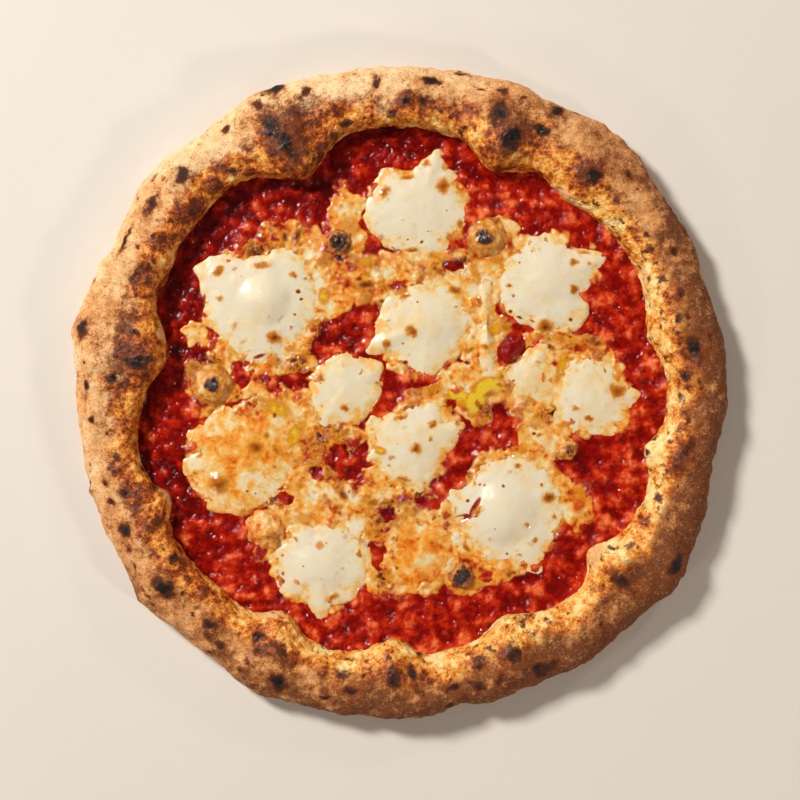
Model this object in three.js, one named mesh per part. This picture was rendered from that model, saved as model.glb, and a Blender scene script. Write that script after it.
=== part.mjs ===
// A Neapolitan margherita pizza, baked and uncut, lying flat: a raised, uneven rim around a
// thin base, tomato sauce spread over the base, and melted mozzarella, one lump of tomato and
// blistered bubbles on the sauce.
// Millimetres, +Z up. The origin is the middle of the flat underside.
import * as THREE from "three";

// Driving dimensions
const RIM_OUTER = 156.3; // usual radius of the outline
const RIM_INNER = 127.8; // usual radius at which the rim meets the sauce
const RIM_HEIGHT = 22;
const BELLY = 0.42; // share of the rim's height at which it is widest
const SECTION_POWER = 2.3; // 2 is an ellipse, more is squarer
const BASE_THICK = 3.5;
const SAUCE_THICK = 2.5;
const SAUCE_LIP = 1.6; // how far the sauce climbs where it meets the rim
const GAP = 0.3; // clearance between pieces that touch
const FOOT_SHARE = 0.9; // of a piece's reach that lies flat underneath

// Heights worked out from them
const SAUCE_FLOOR = BASE_THICK + GAP;
const SAUCE_TOP = SAUCE_FLOOR + SAUCE_THICK;
const TOPPING_FLOOR = SAUCE_TOP + GAP;

// Facets
const ROUND_RIM = 120;
const RIM_STEPS = 13;
const ROUND_PATCH = 36;
const ROUND_SMALL = 18;
const SMALL_REACH = 14; // toppings under this radius take the coarser round

// Swells and hollows of the rim. at and wide are degrees around the pizza, from +X towards +Y.
// out moves the outline, inward moves the inner edge over the sauce, and up is extra height.
const SWELLS = [
  { at: 14, wide: 8, out: -0.5, inward: 6.5, up: 1 },
  { at: 50, wide: 9, out: 5, inward: 5, up: 1.5 },
  { at: 68, wide: 7, out: 2, inward: 11.5, up: 4 },
  { at: 89, wide: 6, out: 0.8, inward: -1, up: 2 },
  { at: 114, wide: 8, out: 3, inward: 14, up: 4 },
  { at: 138, wide: 9, out: 3.5, inward: -0.5, up: 1 },
  { at: 153, wide: 5, out: -1.2, inward: 1.5, up: 1 },
  { at: 166, wide: 7, out: 3, inward: 2, up: 1 },
  { at: 172, wide: 8.5, out: -0.5, inward: 12.5, up: 4 },
  { at: 192, wide: 6, out: -1.2, inward: -1.5, up: -1 },
  { at: 204, wide: 4, out: 0, inward: 5.5, up: 0 },
  { at: 218, wide: 6, out: 2.5, inward: -2, up: 1 },
  { at: 243, wide: 5, out: 2, inward: 9, up: 1 },
  { at: 268, wide: 6, out: -1, inward: 9.5, up: 2 },
  { at: 281, wide: 4, out: -4, inward: 2, up: -1 },
  { at: 294, wide: 8, out: -4, inward: 10, up: 2 },
  { at: 320.5, wide: 5, out: 0.5, inward: 9.5, up: 2 },
  { at: 327, wide: 6, out: 4.5, inward: 2, up: 1 },
  { at: 347, wide: 5, out: -3, inward: 7.5, up: 1 },
];

// Melted mozzarella. long and wide are the half axes of the puddle's oval, turn is degrees from
// +X, rise is its height at (x, y), and lobes are [at, wide, out]: degrees, degrees, millimetres.
const MOZZARELLA = [
  { x: -70, y: 46, long: 30, wide: 29.5, turn: 0, rise: 6,
    lobes: [[82, 12, -12], [104, 14, -13], [128, 12, -4], [154, 7, 3.5], [185, 16, -5.5],
      [220, 18, -5.5], [266, 14, 2.5]] },
  { x: 8, y: 90, long: 24, wide: 23.5, turn: 0, rise: 3.6,
    lobes: [[10, 14, -1.5], [68, 8, 6], [108, 15, -9], [192, 12, 3]] },
  { x: 72, y: 54, long: 24, wide: 24, turn: 0, rise: 3.8,
    lobes: [[25, 9, 6], [60, 16, -5], [218, 24, 3.5], [262, 10, 3], [298, 8, 3.5], [345, 20, -7]] },
  { x: 12, y: 33, long: 23, wide: 23, turn: 0, rise: 3.6,
    lobes: [[125, 9, -5], [203, 9, 8], [268, 10, 3.5], [318, 18, -5], [345, 12, -4]] },
  { x: -27, y: 2, long: 17, wide: 16.5, turn: 90, rise: 3,
    lobes: [[33, 12, 4], [95, 12, 3.5], [238, 20, 4]] },
  { x: 61, y: 8.5, long: 13.5, wide: 13, turn: 0, rise: 2.8,
    lobes: [[62, 12, 6.5], [122, 22, -5.5], [240, 16, 1.5], [350, 14, -2]] },
  { x: 92, y: -1, long: 19, wide: 19, turn: 0, rise: 3.6,
    lobes: [[0, 10, 3.5], [30, 14, -3.5], [152, 14, -3], [222, 20, 2], [312, 12, 2]] },
  { x: 6, y: -24, long: 20.5, wide: 20.5, turn: 0, rise: 3.4,
    lobes: [[20, 12, 5], [58, 14, 3], [112, 16, -4], [197, 9, 4], [278, 9, 3.5], [332, 16, -7]] },
  { x: 50, y: -57, long: 28, wide: 27.5, turn: 30, rise: 6,
    lobes: [[133, 16, -4], [205, 20, -7], [235, 14, -6], [267, 12, -3.5], [300, 9, 4.5]] },
  { x: -40, y: -81, long: 22.7, wide: 22, turn: 0, rise: 4,
    lobes: [[98, 9, -2.5], [150, 10, -5.5], [247, 9, -4], [275, 10, 5], [343, 20, 2.5]] },
  { x: -77, y: -31, long: 26, wide: 26, turn: 0, rise: 3.2,
    lobes: [[50, 16, 1.5], [87, 14, -4], [156, 7, 3.5], [171, 6, -4.5], [192, 9, 1.5], [245, 14, 2]] },
  { x: 64, y: -19, long: 10, wide: 5, turn: 155, rise: 1.8,
    lobes: [[310, 18, 4]] },
  { x: 27, y: 6.5, long: 7.5, wide: 6, turn: 60, rise: 2,
    lobes: [[0, 30, 1.5]] },
  { x: 41, y: 33, long: 25, wide: 5.6, turn: 92, rise: 2.2,
    lobes: [[230, 25, 1.5]] },
  { x: 10, y: -76, long: 20, wide: 16, turn: 60, rise: 2.4,
    lobes: [[35, 20, -2], [120, 20, 3], [200, 20, -2], [330, 18, -3]] },
];

// Bubbles that pushed up through the topping and caught the flame.
const BLISTERS = [
  { x: -30, y: 73, reach: 6, rise: 6.5 },
  { x: 41.5, y: 75, reach: 9.5, rise: 6 },
  { x: -91, y: 4, reach: 11, rise: 6.5 },
  { x: 29, y: -87.5, reach: 6, rise: 6.5 },
  { x: -64.5, y: -65.5, reach: 9.2, rise: 5.5 },
  { x: 79.5, y: -26, reach: 5.5, rise: 4 },
];

// The one lump of tomato large enough to stand above the cheese.
const TOMATO_LUMP = { x: 52.8, y: 21.9, long: 7.6, wide: 5, turn: 62, rise: 5, lobes: [] };

const COLOURS = {
  crust: { color: 0xc98f56, roughness: 0.85 },
  sauce: { color: 0xa31a0c, roughness: 0.25 },
  mozzarella: { color: 0xefe6cf, roughness: 0.35 },
  blister: { color: 0xb8702a, roughness: 0.5 },
};

const radians = THREE.MathUtils.degToRad;

/** A rounded hump around an angle, 1 at its middle. Both angles wrap. */
function hump(turn, at, wide) {
  const full = 2 * Math.PI;
  const away = THREE.MathUtils.euclideanModulo(turn - radians(at) + Math.PI, full) - Math.PI;
  return Math.exp(-((away / radians(wide)) ** 2));
}

function swell(turn, size) {
  return SWELLS.reduce((sum, s) => sum + s[size] * hump(turn, s.at, s.wide), 0);
}

const outerRadius = (turn) => RIM_OUTER + swell(turn, "out");
const innerRadius = (turn) => RIM_INNER - swell(turn, "inward");
const rimHeight = (turn) => RIM_HEIGHT + swell(turn, "up");

/** A sine or cosine bent towards a square section. */
function squared(share) {
  return Math.sign(share) * Math.abs(share) ** (2 / SECTION_POWER);
}

/** A point on the rim's section: lift runs from -90 degrees underneath, over the top. */
function rimSection(turn, lift) {
  const outer = outerRadius(turn);
  const inner = innerRadius(turn);
  const high = rimHeight(turn);
  const belly = high * BELLY;
  const upright = squared(Math.sin(lift));
  return {
    radius: (outer + inner) / 2 + ((outer - inner) / 2) * squared(Math.cos(lift)),
    height: belly + (upright > 0 ? high - belly : belly) * upright,
  };
}

/** The lift, past the inner side, at which the rim's section comes down to the base. */
function footLift(turn) {
  const belly = rimHeight(turn) * BELLY;
  return Math.PI + Math.asin(((belly - BASE_THICK) / belly) ** (SECTION_POWER / 2));
}

/**
 * A closed shape turned about +Z whose section changes as it goes round. place(turn, row) gives
 * each point's radius and height, and the first and the last row lie on the axis.
 */
function unevenLathe(rows, round, place) {
  const nominal = Array.from(
    { length: rows },
    (_, row) => new THREE.Vector2(row === 0 || row === rows - 1 ? 0 : 1, row),
  );
  const geometry = new THREE.LatheGeometry(nominal, round);
  const position = geometry.getAttribute("position");
  for (let step = 0; step <= round; step++) {
    const turn = ((step % round) / round) * 2 * Math.PI;
    for (let row = 0; row < rows; row++) {
      const { radius, height } = place(turn, row);
      const x = radius * Math.cos(turn);
      const y = radius * Math.sin(turn);
      position.setXYZ(step * rows + row, x, y, height);
    }
  }
  return geometry;
}

/** The base and rim as one piece of dough, flat underneath. */
function crustGeometry() {
  const firstLift = radians(-90);
  const underneath = [0, 0.55]; // shares of the rim's middle radius
  const rows = underneath.length + RIM_STEPS + 1;
  return unevenLathe(rows, ROUND_RIM, (turn, row) => {
    if (row < underneath.length) {
      return { radius: underneath[row] * rimSection(turn, firstLift).radius, height: 0 };
    }
    if (row === rows - 1) return { radius: 0, height: BASE_THICK };
    const share = (row - underneath.length) / (RIM_STEPS - 1);
    return rimSection(turn, THREE.MathUtils.lerp(firstLift, footLift(turn), share));
  });
}

/** The sauce, level on the base, with a lip that climbs the foot of the rim. */
function sauceGeometry() {
  const lipStart = 6; // distance in from the rim at which the sauce starts to climb
  return unevenLathe(6, ROUND_RIM, (turn, row) => {
    const reach = innerRadius(turn) - GAP;
    return [
      { radius: 0, height: SAUCE_FLOOR },
      { radius: reach - SAUCE_THICK / 2, height: SAUCE_FLOOR },
      { radius: reach, height: SAUCE_TOP },
      { radius: reach - SAUCE_LIP, height: SAUCE_TOP + SAUCE_LIP },
      { radius: reach - lipStart, height: SAUCE_TOP },
      { radius: 0, height: SAUCE_TOP },
    ][row];
  });
}

/** How far a melted puddle reaches in one direction: its oval, then its lobes and bays. */
function puddleReach(puddle, turn) {
  const along = turn - radians(puddle.turn);
  const oval =
    (puddle.long * puddle.wide) /
    Math.hypot(puddle.wide * Math.cos(along), puddle.long * Math.sin(along));
  return puddle.lobes.reduce((sum, [at, wide, out]) => sum + out * hump(turn, at, wide), oval);
}

/** A melted puddle: flat underneath, a rounded lip, and a low crown at its own origin. */
function puddleGeometry(puddle) {
  const round = puddle.long < SMALL_REACH ? ROUND_SMALL : ROUND_PATCH;
  const lip = Math.min(1.4, 0.5 * puddle.rise);
  return unevenLathe(6, round, (turn, row) => {
    const reach = puddleReach(puddle, turn);
    return [
      { radius: 0, height: 0 },
      { radius: FOOT_SHARE * reach, height: 0 },
      { radius: reach, height: lip / 2 },
      { radius: FOOT_SHARE * reach, height: lip },
      { radius: 0.5 * reach, height: lip + 0.6 * (puddle.rise - lip) },
      { radius: 0, height: puddle.rise },
    ][row];
  });
}

/** A bubble: half an egg on a small flat foot. */
function blisterGeometry({ reach, rise }) {
  const lifts = [0, 22, 45, 68].map(radians);
  const rows = lifts.length + 3;
  return unevenLathe(rows, ROUND_SMALL, (_, row) => {
    if (row === 0) return { radius: 0, height: 0 };
    if (row === 1) return { radius: FOOT_SHARE * reach, height: 0 };
    if (row === rows - 1) return { radius: 0, height: rise };
    const lift = lifts[row - 2];
    const side = rise * 0.15; // the bubble is widest a little above the sauce
    return { radius: reach * Math.cos(lift), height: side + (rise - side) * Math.sin(lift) };
  });
}

function piece(name, geometry, colour) {
  const made = new THREE.Mesh(
    geometry,
    new THREE.MeshStandardMaterial({ metalness: 0, flatShading: true, ...colour }),
  );
  made.name = name;
  return made;
}

/** A piece that lies on the sauce at its own place. */
function topping(name, geometry, colour, { x, y }) {
  const made = piece(name, geometry, colour);
  made.position.set(x, y, TOPPING_FLOOR);
  return made;
}

const pizza = new THREE.Group();
pizza.add(piece("crust", crustGeometry(), COLOURS.crust));
pizza.add(piece("tomato_sauce", sauceGeometry(), COLOURS.sauce));
MOZZARELLA.forEach((puddle, i) =>
  pizza.add(
    topping(`mozzarella_${i + 1}`, puddleGeometry(puddle), COLOURS.mozzarella, puddle),
  ),
);
BLISTERS.forEach((blister, i) =>
  pizza.add(topping(`blister_${i + 1}`, blisterGeometry(blister), COLOURS.blister, blister)),
);
pizza.add(topping("tomato_lump", puddleGeometry(TOMATO_LUMP), COLOURS.sauce, TOMATO_LUMP));

export default pizza;
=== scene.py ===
"""A baked Neapolitan margherita pizza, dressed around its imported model.

Lengths are millimetres while a piece is being shaped, and metres once it is placed.
"""
import logging
import math
from dataclasses import dataclass, field, replace
from enum import Enum

import bmesh
import bpy
import numpy as np
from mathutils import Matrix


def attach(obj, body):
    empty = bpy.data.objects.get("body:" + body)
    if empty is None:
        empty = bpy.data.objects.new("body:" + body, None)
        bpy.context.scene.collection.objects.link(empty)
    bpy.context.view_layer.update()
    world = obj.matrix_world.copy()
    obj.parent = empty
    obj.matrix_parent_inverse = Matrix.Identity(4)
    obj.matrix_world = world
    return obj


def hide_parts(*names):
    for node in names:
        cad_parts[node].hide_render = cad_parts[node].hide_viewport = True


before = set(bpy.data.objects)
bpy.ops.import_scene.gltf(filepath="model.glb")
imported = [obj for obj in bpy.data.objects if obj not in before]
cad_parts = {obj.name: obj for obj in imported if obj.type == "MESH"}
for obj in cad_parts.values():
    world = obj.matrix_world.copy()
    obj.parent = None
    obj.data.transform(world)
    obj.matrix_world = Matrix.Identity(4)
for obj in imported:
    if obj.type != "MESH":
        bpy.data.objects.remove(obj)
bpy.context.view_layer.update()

MM = 0.001
log = logging.getLogger("pizza")
Array = np.ndarray
Colour = tuple[float, float, float, float]


# ---------------------------------------------------------------------------- small helpers


def ease(low: float, high: float, value: Array) -> Array:
    """Returns value eased from 0 at low to 1 at high."""
    share = np.clip((value - low) / (high - low), 0.0, 1.0)
    return share * share * (3 - 2 * share)


def tint(code: str) -> Colour:
    """Turns a colour code into a colour.

    Args:
        code: six hex digits.

    Returns:
        The linear colour.
    """
    parts = [int(code[i:i + 2], 16) / 255 for i in (0, 2, 4)]
    bent = [p / 12.92 if p <= 0.04045 else ((p + 0.055) / 1.055) ** 2.4 for p in parts]
    return (*bent, 1.0)


@dataclass(frozen=True)
class Grain:
    """Smooth seeded noise, about -1 to 1, that is the same on every run."""

    seed: int

    def _slopes(self, corner: Array) -> Array:
        """Draws a fixed random slope for each corner.

        Args:
            corner: whole-number places, one to a row.

        Returns:
            The slopes, one to a row.
        """
        mixed = corner[:, 0] * 374761393 + corner[:, 1] * 668265263 + corner[:, 2] * 915488749
        mixed = (mixed + self.seed * 974634777) & 0xFFFFFFFF
        mixed = ((mixed ^ (mixed >> 13)) * 1274126177) & 0xFFFFFFFF
        mixed = mixed ^ (mixed >> 16)
        return np.stack([((mixed >> shift) & 1023) / 511.5 - 1 for shift in (0, 10, 20)], axis=1)

    def at(self, points: Array, size: float) -> Array:
        """Reads the noise.

        Args:
            points: places, one to a row of three numbers.
            size: width of one wave, in the points' own unit.

        Returns:
            One number for each place.
        """
        scaled = points / size
        whole = np.floor(scaled).astype(np.int64)
        part = scaled - whole
        fade = part ** 3 * (part * (part * 6 - 15) + 10)
        total = np.zeros(len(points))
        for corner in np.ndindex(2, 2, 2):
            step = np.array(corner)
            share = np.prod(np.where(step, fade, 1 - fade), axis=1)
            total += share * np.sum(self._slopes(whole + step) * (part - step), axis=1)
        return total * 1.5

    def layered(self, points: Array, size: float, layers: int = 3, fall: float = 0.5) -> Array:
        """Adds finer and finer waves.

        Args:
            points: places, one to a row.
            size: width of the widest wave.
            layers: how many widths, each half the last.
            fall: strength of each layer against the last.

        Returns:
            One number for each place.
        """
        return sum(fall ** i * self.at(points, size / 2 ** i) for i in range(layers))


@dataclass(frozen=True)
class Dab:
    """An oval mark: where it is, how large, and how strong."""

    x: float
    y: float
    long: float
    wide: float
    turn: float = 0.0
    level: float = 1.0


def plane(x: Array, y: Array, height: float = 0.0) -> Array:
    """Returns places on a level plane, one to a row."""
    return np.stack([x, y, x * 0 + height], axis=1)


class Ground:
    """Points laid out flat, sorted so that those under a small mark are found quickly."""

    def __init__(self, x: Array, y: Array) -> None:
        """Sorts the points.

        Args:
            x: first coordinate of each point.
            y: second coordinate of each point.
        """
        self.x, self.y = x, y
        self.order = np.argsort(x)
        self.sorted_x = x[self.order]

    @classmethod
    def shaken(cls, x: Array, y: Array, place: Array, grain: Grain, far: float, size: float,
               layers: int = 3, fall: float = 0.5,
               apart: tuple[float, float] = (0, 9)) -> "Ground":
        """Lays points out unevenly, so that marks on them get ragged edges.

        Args:
            x: first coordinate of each point.
            y: second coordinate of each point.
            place: where each point reads the noise.
            grain: the noise.
            far: how far it moves a point.
            size: width of its widest wave.
            layers: how many widths it has.
            fall: strength of each layer against the last.
            apart: what is added to the places for x and for y.

        Returns:
            The uneven ground.
        """
        first, second = (grain.layered(place + shift, size, layers, fall) for shift in apart)
        return cls(x + far * first, y + far * second)

    def under(self, dab: Dab, margin: float = 1.0) -> tuple[Array, Array]:
        """Finds the points that a mark covers.

        Args:
            dab: the mark.
            margin: how far beyond its edge to look, 1 being the edge.

        Returns:
            The points' numbers, and how far out each lies, 0 at the middle and 1 at the edge.
        """
        reach = max(dab.long, dab.wide) * margin
        low, high = np.searchsorted(self.sorted_x, [dab.x - reach, dab.x + reach])
        found = self.order[low:high]
        found = found[np.abs(self.y[found] - dab.y) < reach]
        turn = math.radians(dab.turn)
        right, up = self.x[found] - dab.x, self.y[found] - dab.y
        along = right * math.cos(turn) + up * math.sin(turn)
        across = up * math.cos(turn) - right * math.sin(turn)
        out = np.hypot(along / dab.long, across / dab.wide)
        inside = out < margin
        return found[inside], out[inside]

    def domes(self, dabs: list[Dab], power: float) -> Array:
        """Raises a rounded dome for each mark, and keeps the highest.

        Args:
            dabs: the marks; level is the dome's height.
            power: under 1 is a steep-sided bubble, over 1 a soft mound.

        Returns:
            The height at each point.
        """
        height = np.zeros(len(self.x))
        for dab in dabs:
            found, out = self.under(dab)
            height[found] = np.maximum(height[found], dab.level * (1 - out * out) ** power)
        return height

    def spots(self, dabs: list[Dab], fall: float = 3.2) -> Array:
        """Spreads a mark whose strength halves at its edge and dies away beyond it.

        Args:
            dabs: the marks.
            fall: how fast each dies away.

        Returns:
            The strongest mark at each point.
        """
        strength = np.zeros(len(self.x))
        for dab in dabs:
            found, out = self.under(dab, 2.6)
            mark = dab.level * ease(2.6, 1.8, out) / (1 + out ** fall)
            strength[found] = np.maximum(strength[found], mark)
        return strength


def set_field(mesh: bpy.types.Mesh, name: str, values: Array) -> None:
    """Stores one number per vertex for a material to read."""
    layer = mesh.attributes.new(name, "FLOAT", "POINT")
    layer.data.foreach_set("value", np.ascontiguousarray(values, dtype=np.float32))


def read_points(mesh: bpy.types.Mesh) -> Array:
    """Reads where the vertices are.

    Args:
        mesh: the mesh.

    Returns:
        Their places, one to a row.
    """
    points = np.empty(len(mesh.vertices) * 3, dtype=np.float32)
    mesh.vertices.foreach_get("co", points)
    return points.reshape(-1, 3).astype(np.float64)


def write_points(mesh: bpy.types.Mesh, points: Array) -> None:
    """Moves the vertices to places given in millimetres."""
    mesh.vertices.foreach_set("co", (points * MM).astype(np.float32).ravel())
    mesh.update()


def hand_in(mesh: bpy.types.Mesh, name: str, material: bpy.types.Material,
            nodes: list[str]) -> bpy.types.Object:
    """Turns a finished mesh into a piece of the pizza.

    Args:
        mesh: its mesh, in metres.
        name: its name.
        material: its finish.
        nodes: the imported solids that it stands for.

    Returns:
        The piece.
    """
    mesh.polygons.foreach_set("use_smooth", [True] * len(mesh.polygons))
    mesh.materials.append(material)
    piece = bpy.data.objects.new(name, mesh)
    bpy.context.scene.collection.objects.link(piece)
    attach(piece, "root")
    if nodes:
        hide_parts(*nodes)
    log.info("%s: %d faces", name, len(mesh.polygons))
    return piece


# --------------------------------------------------------------------------------- finishes


class Bench:
    """Lays out the nodes of one material."""

    def __init__(self, name: str) -> None:
        """Starts an empty material.

        Args:
            name: the material's name.
        """
        self.material = bpy.data.materials.new(name)
        self.material.use_nodes = True
        self.tree = self.material.node_tree
        self.tree.nodes.clear()
        self.place = self.node("ShaderNodeTexCoord").outputs["Object"]

    def node(self, kind: str, inputs: dict[str | int, object] | None = None,
             **settings: object) -> bpy.types.Node:
        """Adds a node.

        Args:
            kind: the node's type.
            inputs: socket name or number to a constant or a link.
            settings: properties of the node.

        Returns:
            The node.
        """
        made = self.tree.nodes.new(kind)
        for key, value in settings.items():
            setattr(made, key, value)
        for key, value in (inputs or {}).items():
            if isinstance(value, bpy.types.NodeSocket):
                self.tree.links.new(value, made.inputs[key])
            elif value is not None:
                made.inputs[key].default_value = value
        return made

    def field(self, name: str) -> bpy.types.NodeSocket:
        """Reads a number stored on the mesh."""
        return self.node("ShaderNodeAttribute", attribute_name=name).outputs["Fac"]

    def noise(self, size: float, detail: float = 3.0, warp: float = 0.0) -> bpy.types.NodeSocket:
        """Adds noise.

        Args:
            size: width of its waves, in millimetres.
            detail: how many finer layers it has.
            warp: how far it is distorted.

        Returns:
            The noise, about 0 to 1.
        """
        inputs = {"Vector": self.place, "Scale": 1 / (size * MM), "Detail": detail,
                  "Roughness": 0.6, "Distortion": warp}
        return self.node("ShaderNodeTexNoise", inputs).outputs["Fac"]

    def cells(self, size: float) -> bpy.types.NodeSocket:
        """Adds cells about size millimetres wide."""
        inputs = {"Vector": self.place, "Scale": 1 / (size * MM)}
        return self.node("ShaderNodeTexVoronoi", inputs).outputs["Distance"]

    def math(self, kind: str, first: object, second: object,
             clamp: bool = False) -> bpy.types.NodeSocket:
        """Does one sum on two numbers."""
        inputs = {0: first, 1: second}
        return self.node("ShaderNodeMath", inputs, operation=kind, use_clamp=clamp).outputs[0]

    def stirred(self, base: object, *waves: tuple[object, float]) -> bpy.types.NodeSocket:
        """Stirs waves into a number without moving its mean.

        Args:
            base: the number.
            waves: each wave, 0 to 1, with its strength.

        Returns:
            The number with the waves added.
        """
        total = base
        for wave, strength in waves:
            centred = self.math("SUBTRACT", wave, 0.5)
            total = self.math("ADD", total, self.math("MULTIPLY", centred, strength))
        return total

    def step(self, value: object, low: float, high: float, to_low: float = 0.0,
             to_high: float = 1.0) -> bpy.types.NodeSocket:
        """Eases a number from one range to another.

        Args:
            value: the number.
            low: where the first range starts.
            high: where it ends.
            to_low: what low becomes.
            to_high: what high becomes.

        Returns:
            The eased number.
        """
        inputs = {"Value": value, "From Min": low, "From Max": high,
                  "To Min": to_low, "To Max": to_high}
        made = self.node("ShaderNodeMapRange", inputs, interpolation_type="SMOOTHSTEP")
        return made.outputs["Result"]

    def ramp(self, value: object, *stops: tuple[float, str]) -> bpy.types.NodeSocket:
        """Runs a number through colours.

        Args:
            value: the number.
            stops: the position and the code of each colour.

        Returns:
            The colour.
        """
        made = self.node("ShaderNodeValToRGB", {"Fac": value})
        elements = made.color_ramp.elements
        while len(elements) < len(stops):
            elements.new(1.0)
        for element, (position, code) in zip(elements, stops):
            element.position = position
            element.color = tint(code)
        return made.outputs["Color"]

    def mix(self, share: object, first: object, second: object) -> bpy.types.NodeSocket:
        """Blends two colours."""
        return self.node("ShaderNodeMix", {0: share, 6: first, 7: second},
                         data_type="RGBA").outputs[2]

    def bump(self, height: object, depth: float, under: object = None) -> bpy.types.NodeSocket:
        """Roughens the surface by depth millimetres, over another bump if one is given."""
        inputs = {"Height": height, "Distance": depth * MM, "Strength": 1.0, "Normal": under}
        return self.node("ShaderNodeBump", inputs).outputs["Normal"]

    def finish(self, inputs: dict[str, object]) -> bpy.types.Material:
        """Closes the material with one surface shader.

        Args:
            inputs: the shader's sockets, each with a constant or a link.

        Returns:
            The material.
        """
        shader = self.node("ShaderNodeBsdfPrincipled", inputs)
        self.node("ShaderNodeOutputMaterial", {"Surface": shader.outputs[0]})
        return self.material


@dataclass(frozen=True)
class CrustFinish:
    """Baked dough: floury outside, oily and orange inside, spotted with char."""

    pale: str = "F2BA7E"
    tan: str = "D48E50"
    brown: str = "743A17"
    flour: str = "FBD6A2"
    flap: str = "F0B87A"

    def make(self) -> bpy.types.Material:
        """Lays out the dough's nodes.

        Returns:
            The material; it reads char, glaze, golden, toast and flap.
            Golden, toast and char also carry painted light and shade.
        """
        b = Bench("baked_dough")
        broad, mid, fine = b.noise(11), b.noise(3.2, 4), b.noise(0.9, 3)
        dust = b.noise(0.45, 2)
        # Toast carries the browning, with painted shade and light: browner towards the lower right,
        # paler towards the upper left
        toast_and_shade = b.stirred(b.field("toast_and_shade"), (broad, 0.8), (mid, 0.9), (fine, 0.6))
        floury = b.ramp(toast_and_shade, (0.05, self.flour), (0.3, self.pale), (0.6, self.tan),
                        (0.95, self.brown))
        fluff = b.noise(1.9, 2.4, 1.9)
        floury = b.mix(b.step(fluff, 0.5, 0.74, 0.0, 0.3), floury, tint(self.flour))
        floury = b.mix(b.step(fluff, 0.46, 0.32, 0.0, 0.6), floury, tint("8E4C22"))
        grime = b.step(b.math("ADD", fine, b.math("MULTIPLY", mid, 0.5)), 0.84, 1.04, 0.0, 0.5)
        floury = b.mix(grime, floury, tint("A8622E"))

        bubbles = b.cells(2.4)
        # Golden carries the glaze's tone, with painted light and shade on the inner wall: paler at the
        # lower right, browner at the upper left
        oily_and_painted_light = b.stirred(b.field("golden"), (broad, 0.5), (mid, 1.3), (fine, 1.0), (bubbles, -0.35))
        glazed = b.ramp(oily_and_painted_light, (0.05, "FFE7A2"), (0.28, "FFC262"), (0.5, "EA9030"),
                        (0.74, "B8540F"), (0.97, "642808"))
        edge = b.stirred(b.field("glaze"), (broad, 0.5), (mid, 1.1), (fine, 0.5))
        skin = b.mix(b.step(edge, 0.12, 0.88), floury, glazed)
        skin = b.mix(b.step(b.stirred(b.field("flap"), (mid, 0.5)), 0.35, 0.7), skin,
                     tint(self.flap))

        # Char also carries painted shade low on the lower right side, turned from the lamp
        burn = b.stirred(b.field("char"), (mid, 0.4), (fine, 0.36), (dust, 0.08))
        scorch = b.ramp(burn, (0.12, "BE6C2C"), (0.28, "8E4418"), (0.46, "5C280E"),
                        (0.68, "32180D"), (0.94, "120C0A"))
        fibre = b.math("MULTIPLY", b.step(fluff, 0.5, 0.64, 0.0, 0.5), b.step(burn, 0.8, 0.45))
        scorch = b.mix(fibre, scorch, tint("6E3C1C"))
        skin = b.mix(b.step(burn, 0.1, 0.46), skin, scorch)

        flat = b.stirred(0.86, (fine, 0.1))
        shine = b.step(edge, 0.3, 0.8, 0.0, 0.42)
        rough = b.math("SUBTRACT", flat, shine)
        rough = b.math("SUBTRACT", rough, b.step(burn, 0.3, 0.7, 0.0, 0.16), clamp=True)
        normal = b.bump(mid, 0.8)
        normal = b.bump(fluff, 0.26, b.bump(fine, 0.12, normal))
        normal = b.bump(b.math("MULTIPLY", bubbles, b.step(edge, 0.3, 0.8)), 0.5, normal)
        normal = b.bump(dust, 0.02, normal)
        return b.finish({"Base Color": skin, "Roughness": rough, "Normal": normal,
                         "Specular IOR Level": 0.35})


@dataclass(frozen=True)
class SauceFinish:
    """Wet, cooked tomato pulp."""

    deep: str = "5C0200"
    red: str = "C22B0A"
    bright: str = "F67C44"

    def make(self) -> bpy.types.Material:
        """Lays out the pulp's nodes.

        Returns:
            The material; it reads pulp, which also carries painted shade, and stain.
        """
        b = Bench("tomato_pulp")
        broad, mid, fine = b.noise(9, 2), b.noise(3.0, 4), b.noise(0.8, 3)
        pulp = b.stirred(b.field("pulp"), (broad, 0.7), (mid, 0.56), (fine, 0.25))
        # Dark in the hollows and light on the lumps: partly pulp against juice, partly painted shade
        # and painted light
        colour = b.ramp(pulp, (0.05, self.deep), (0.34, "920A00"), (0.57, self.red),
                        (0.88, self.bright))
        stain = b.stirred(b.field("stain"), (mid, 0.9), (fine, 0.4))
        colour = b.mix(b.step(stain, 0.3, 0.9, 0.0, 0.85), colour, tint("CE5210"))
        grit = b.noise(1.7, 0.8, 0.6)
        normal = b.bump(grit, 0.4, b.bump(b.noise(3.0, 1), 1.0))
        rough = b.stirred(0.26, (fine, 0.2))
        return b.finish({"Base Color": colour, "Roughness": rough, "Normal": normal,
                         "Specular IOR Level": 0.05, "Coat Weight": 0.36,
                         "Coat Roughness": 0.04, "Coat Normal": normal})


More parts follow.
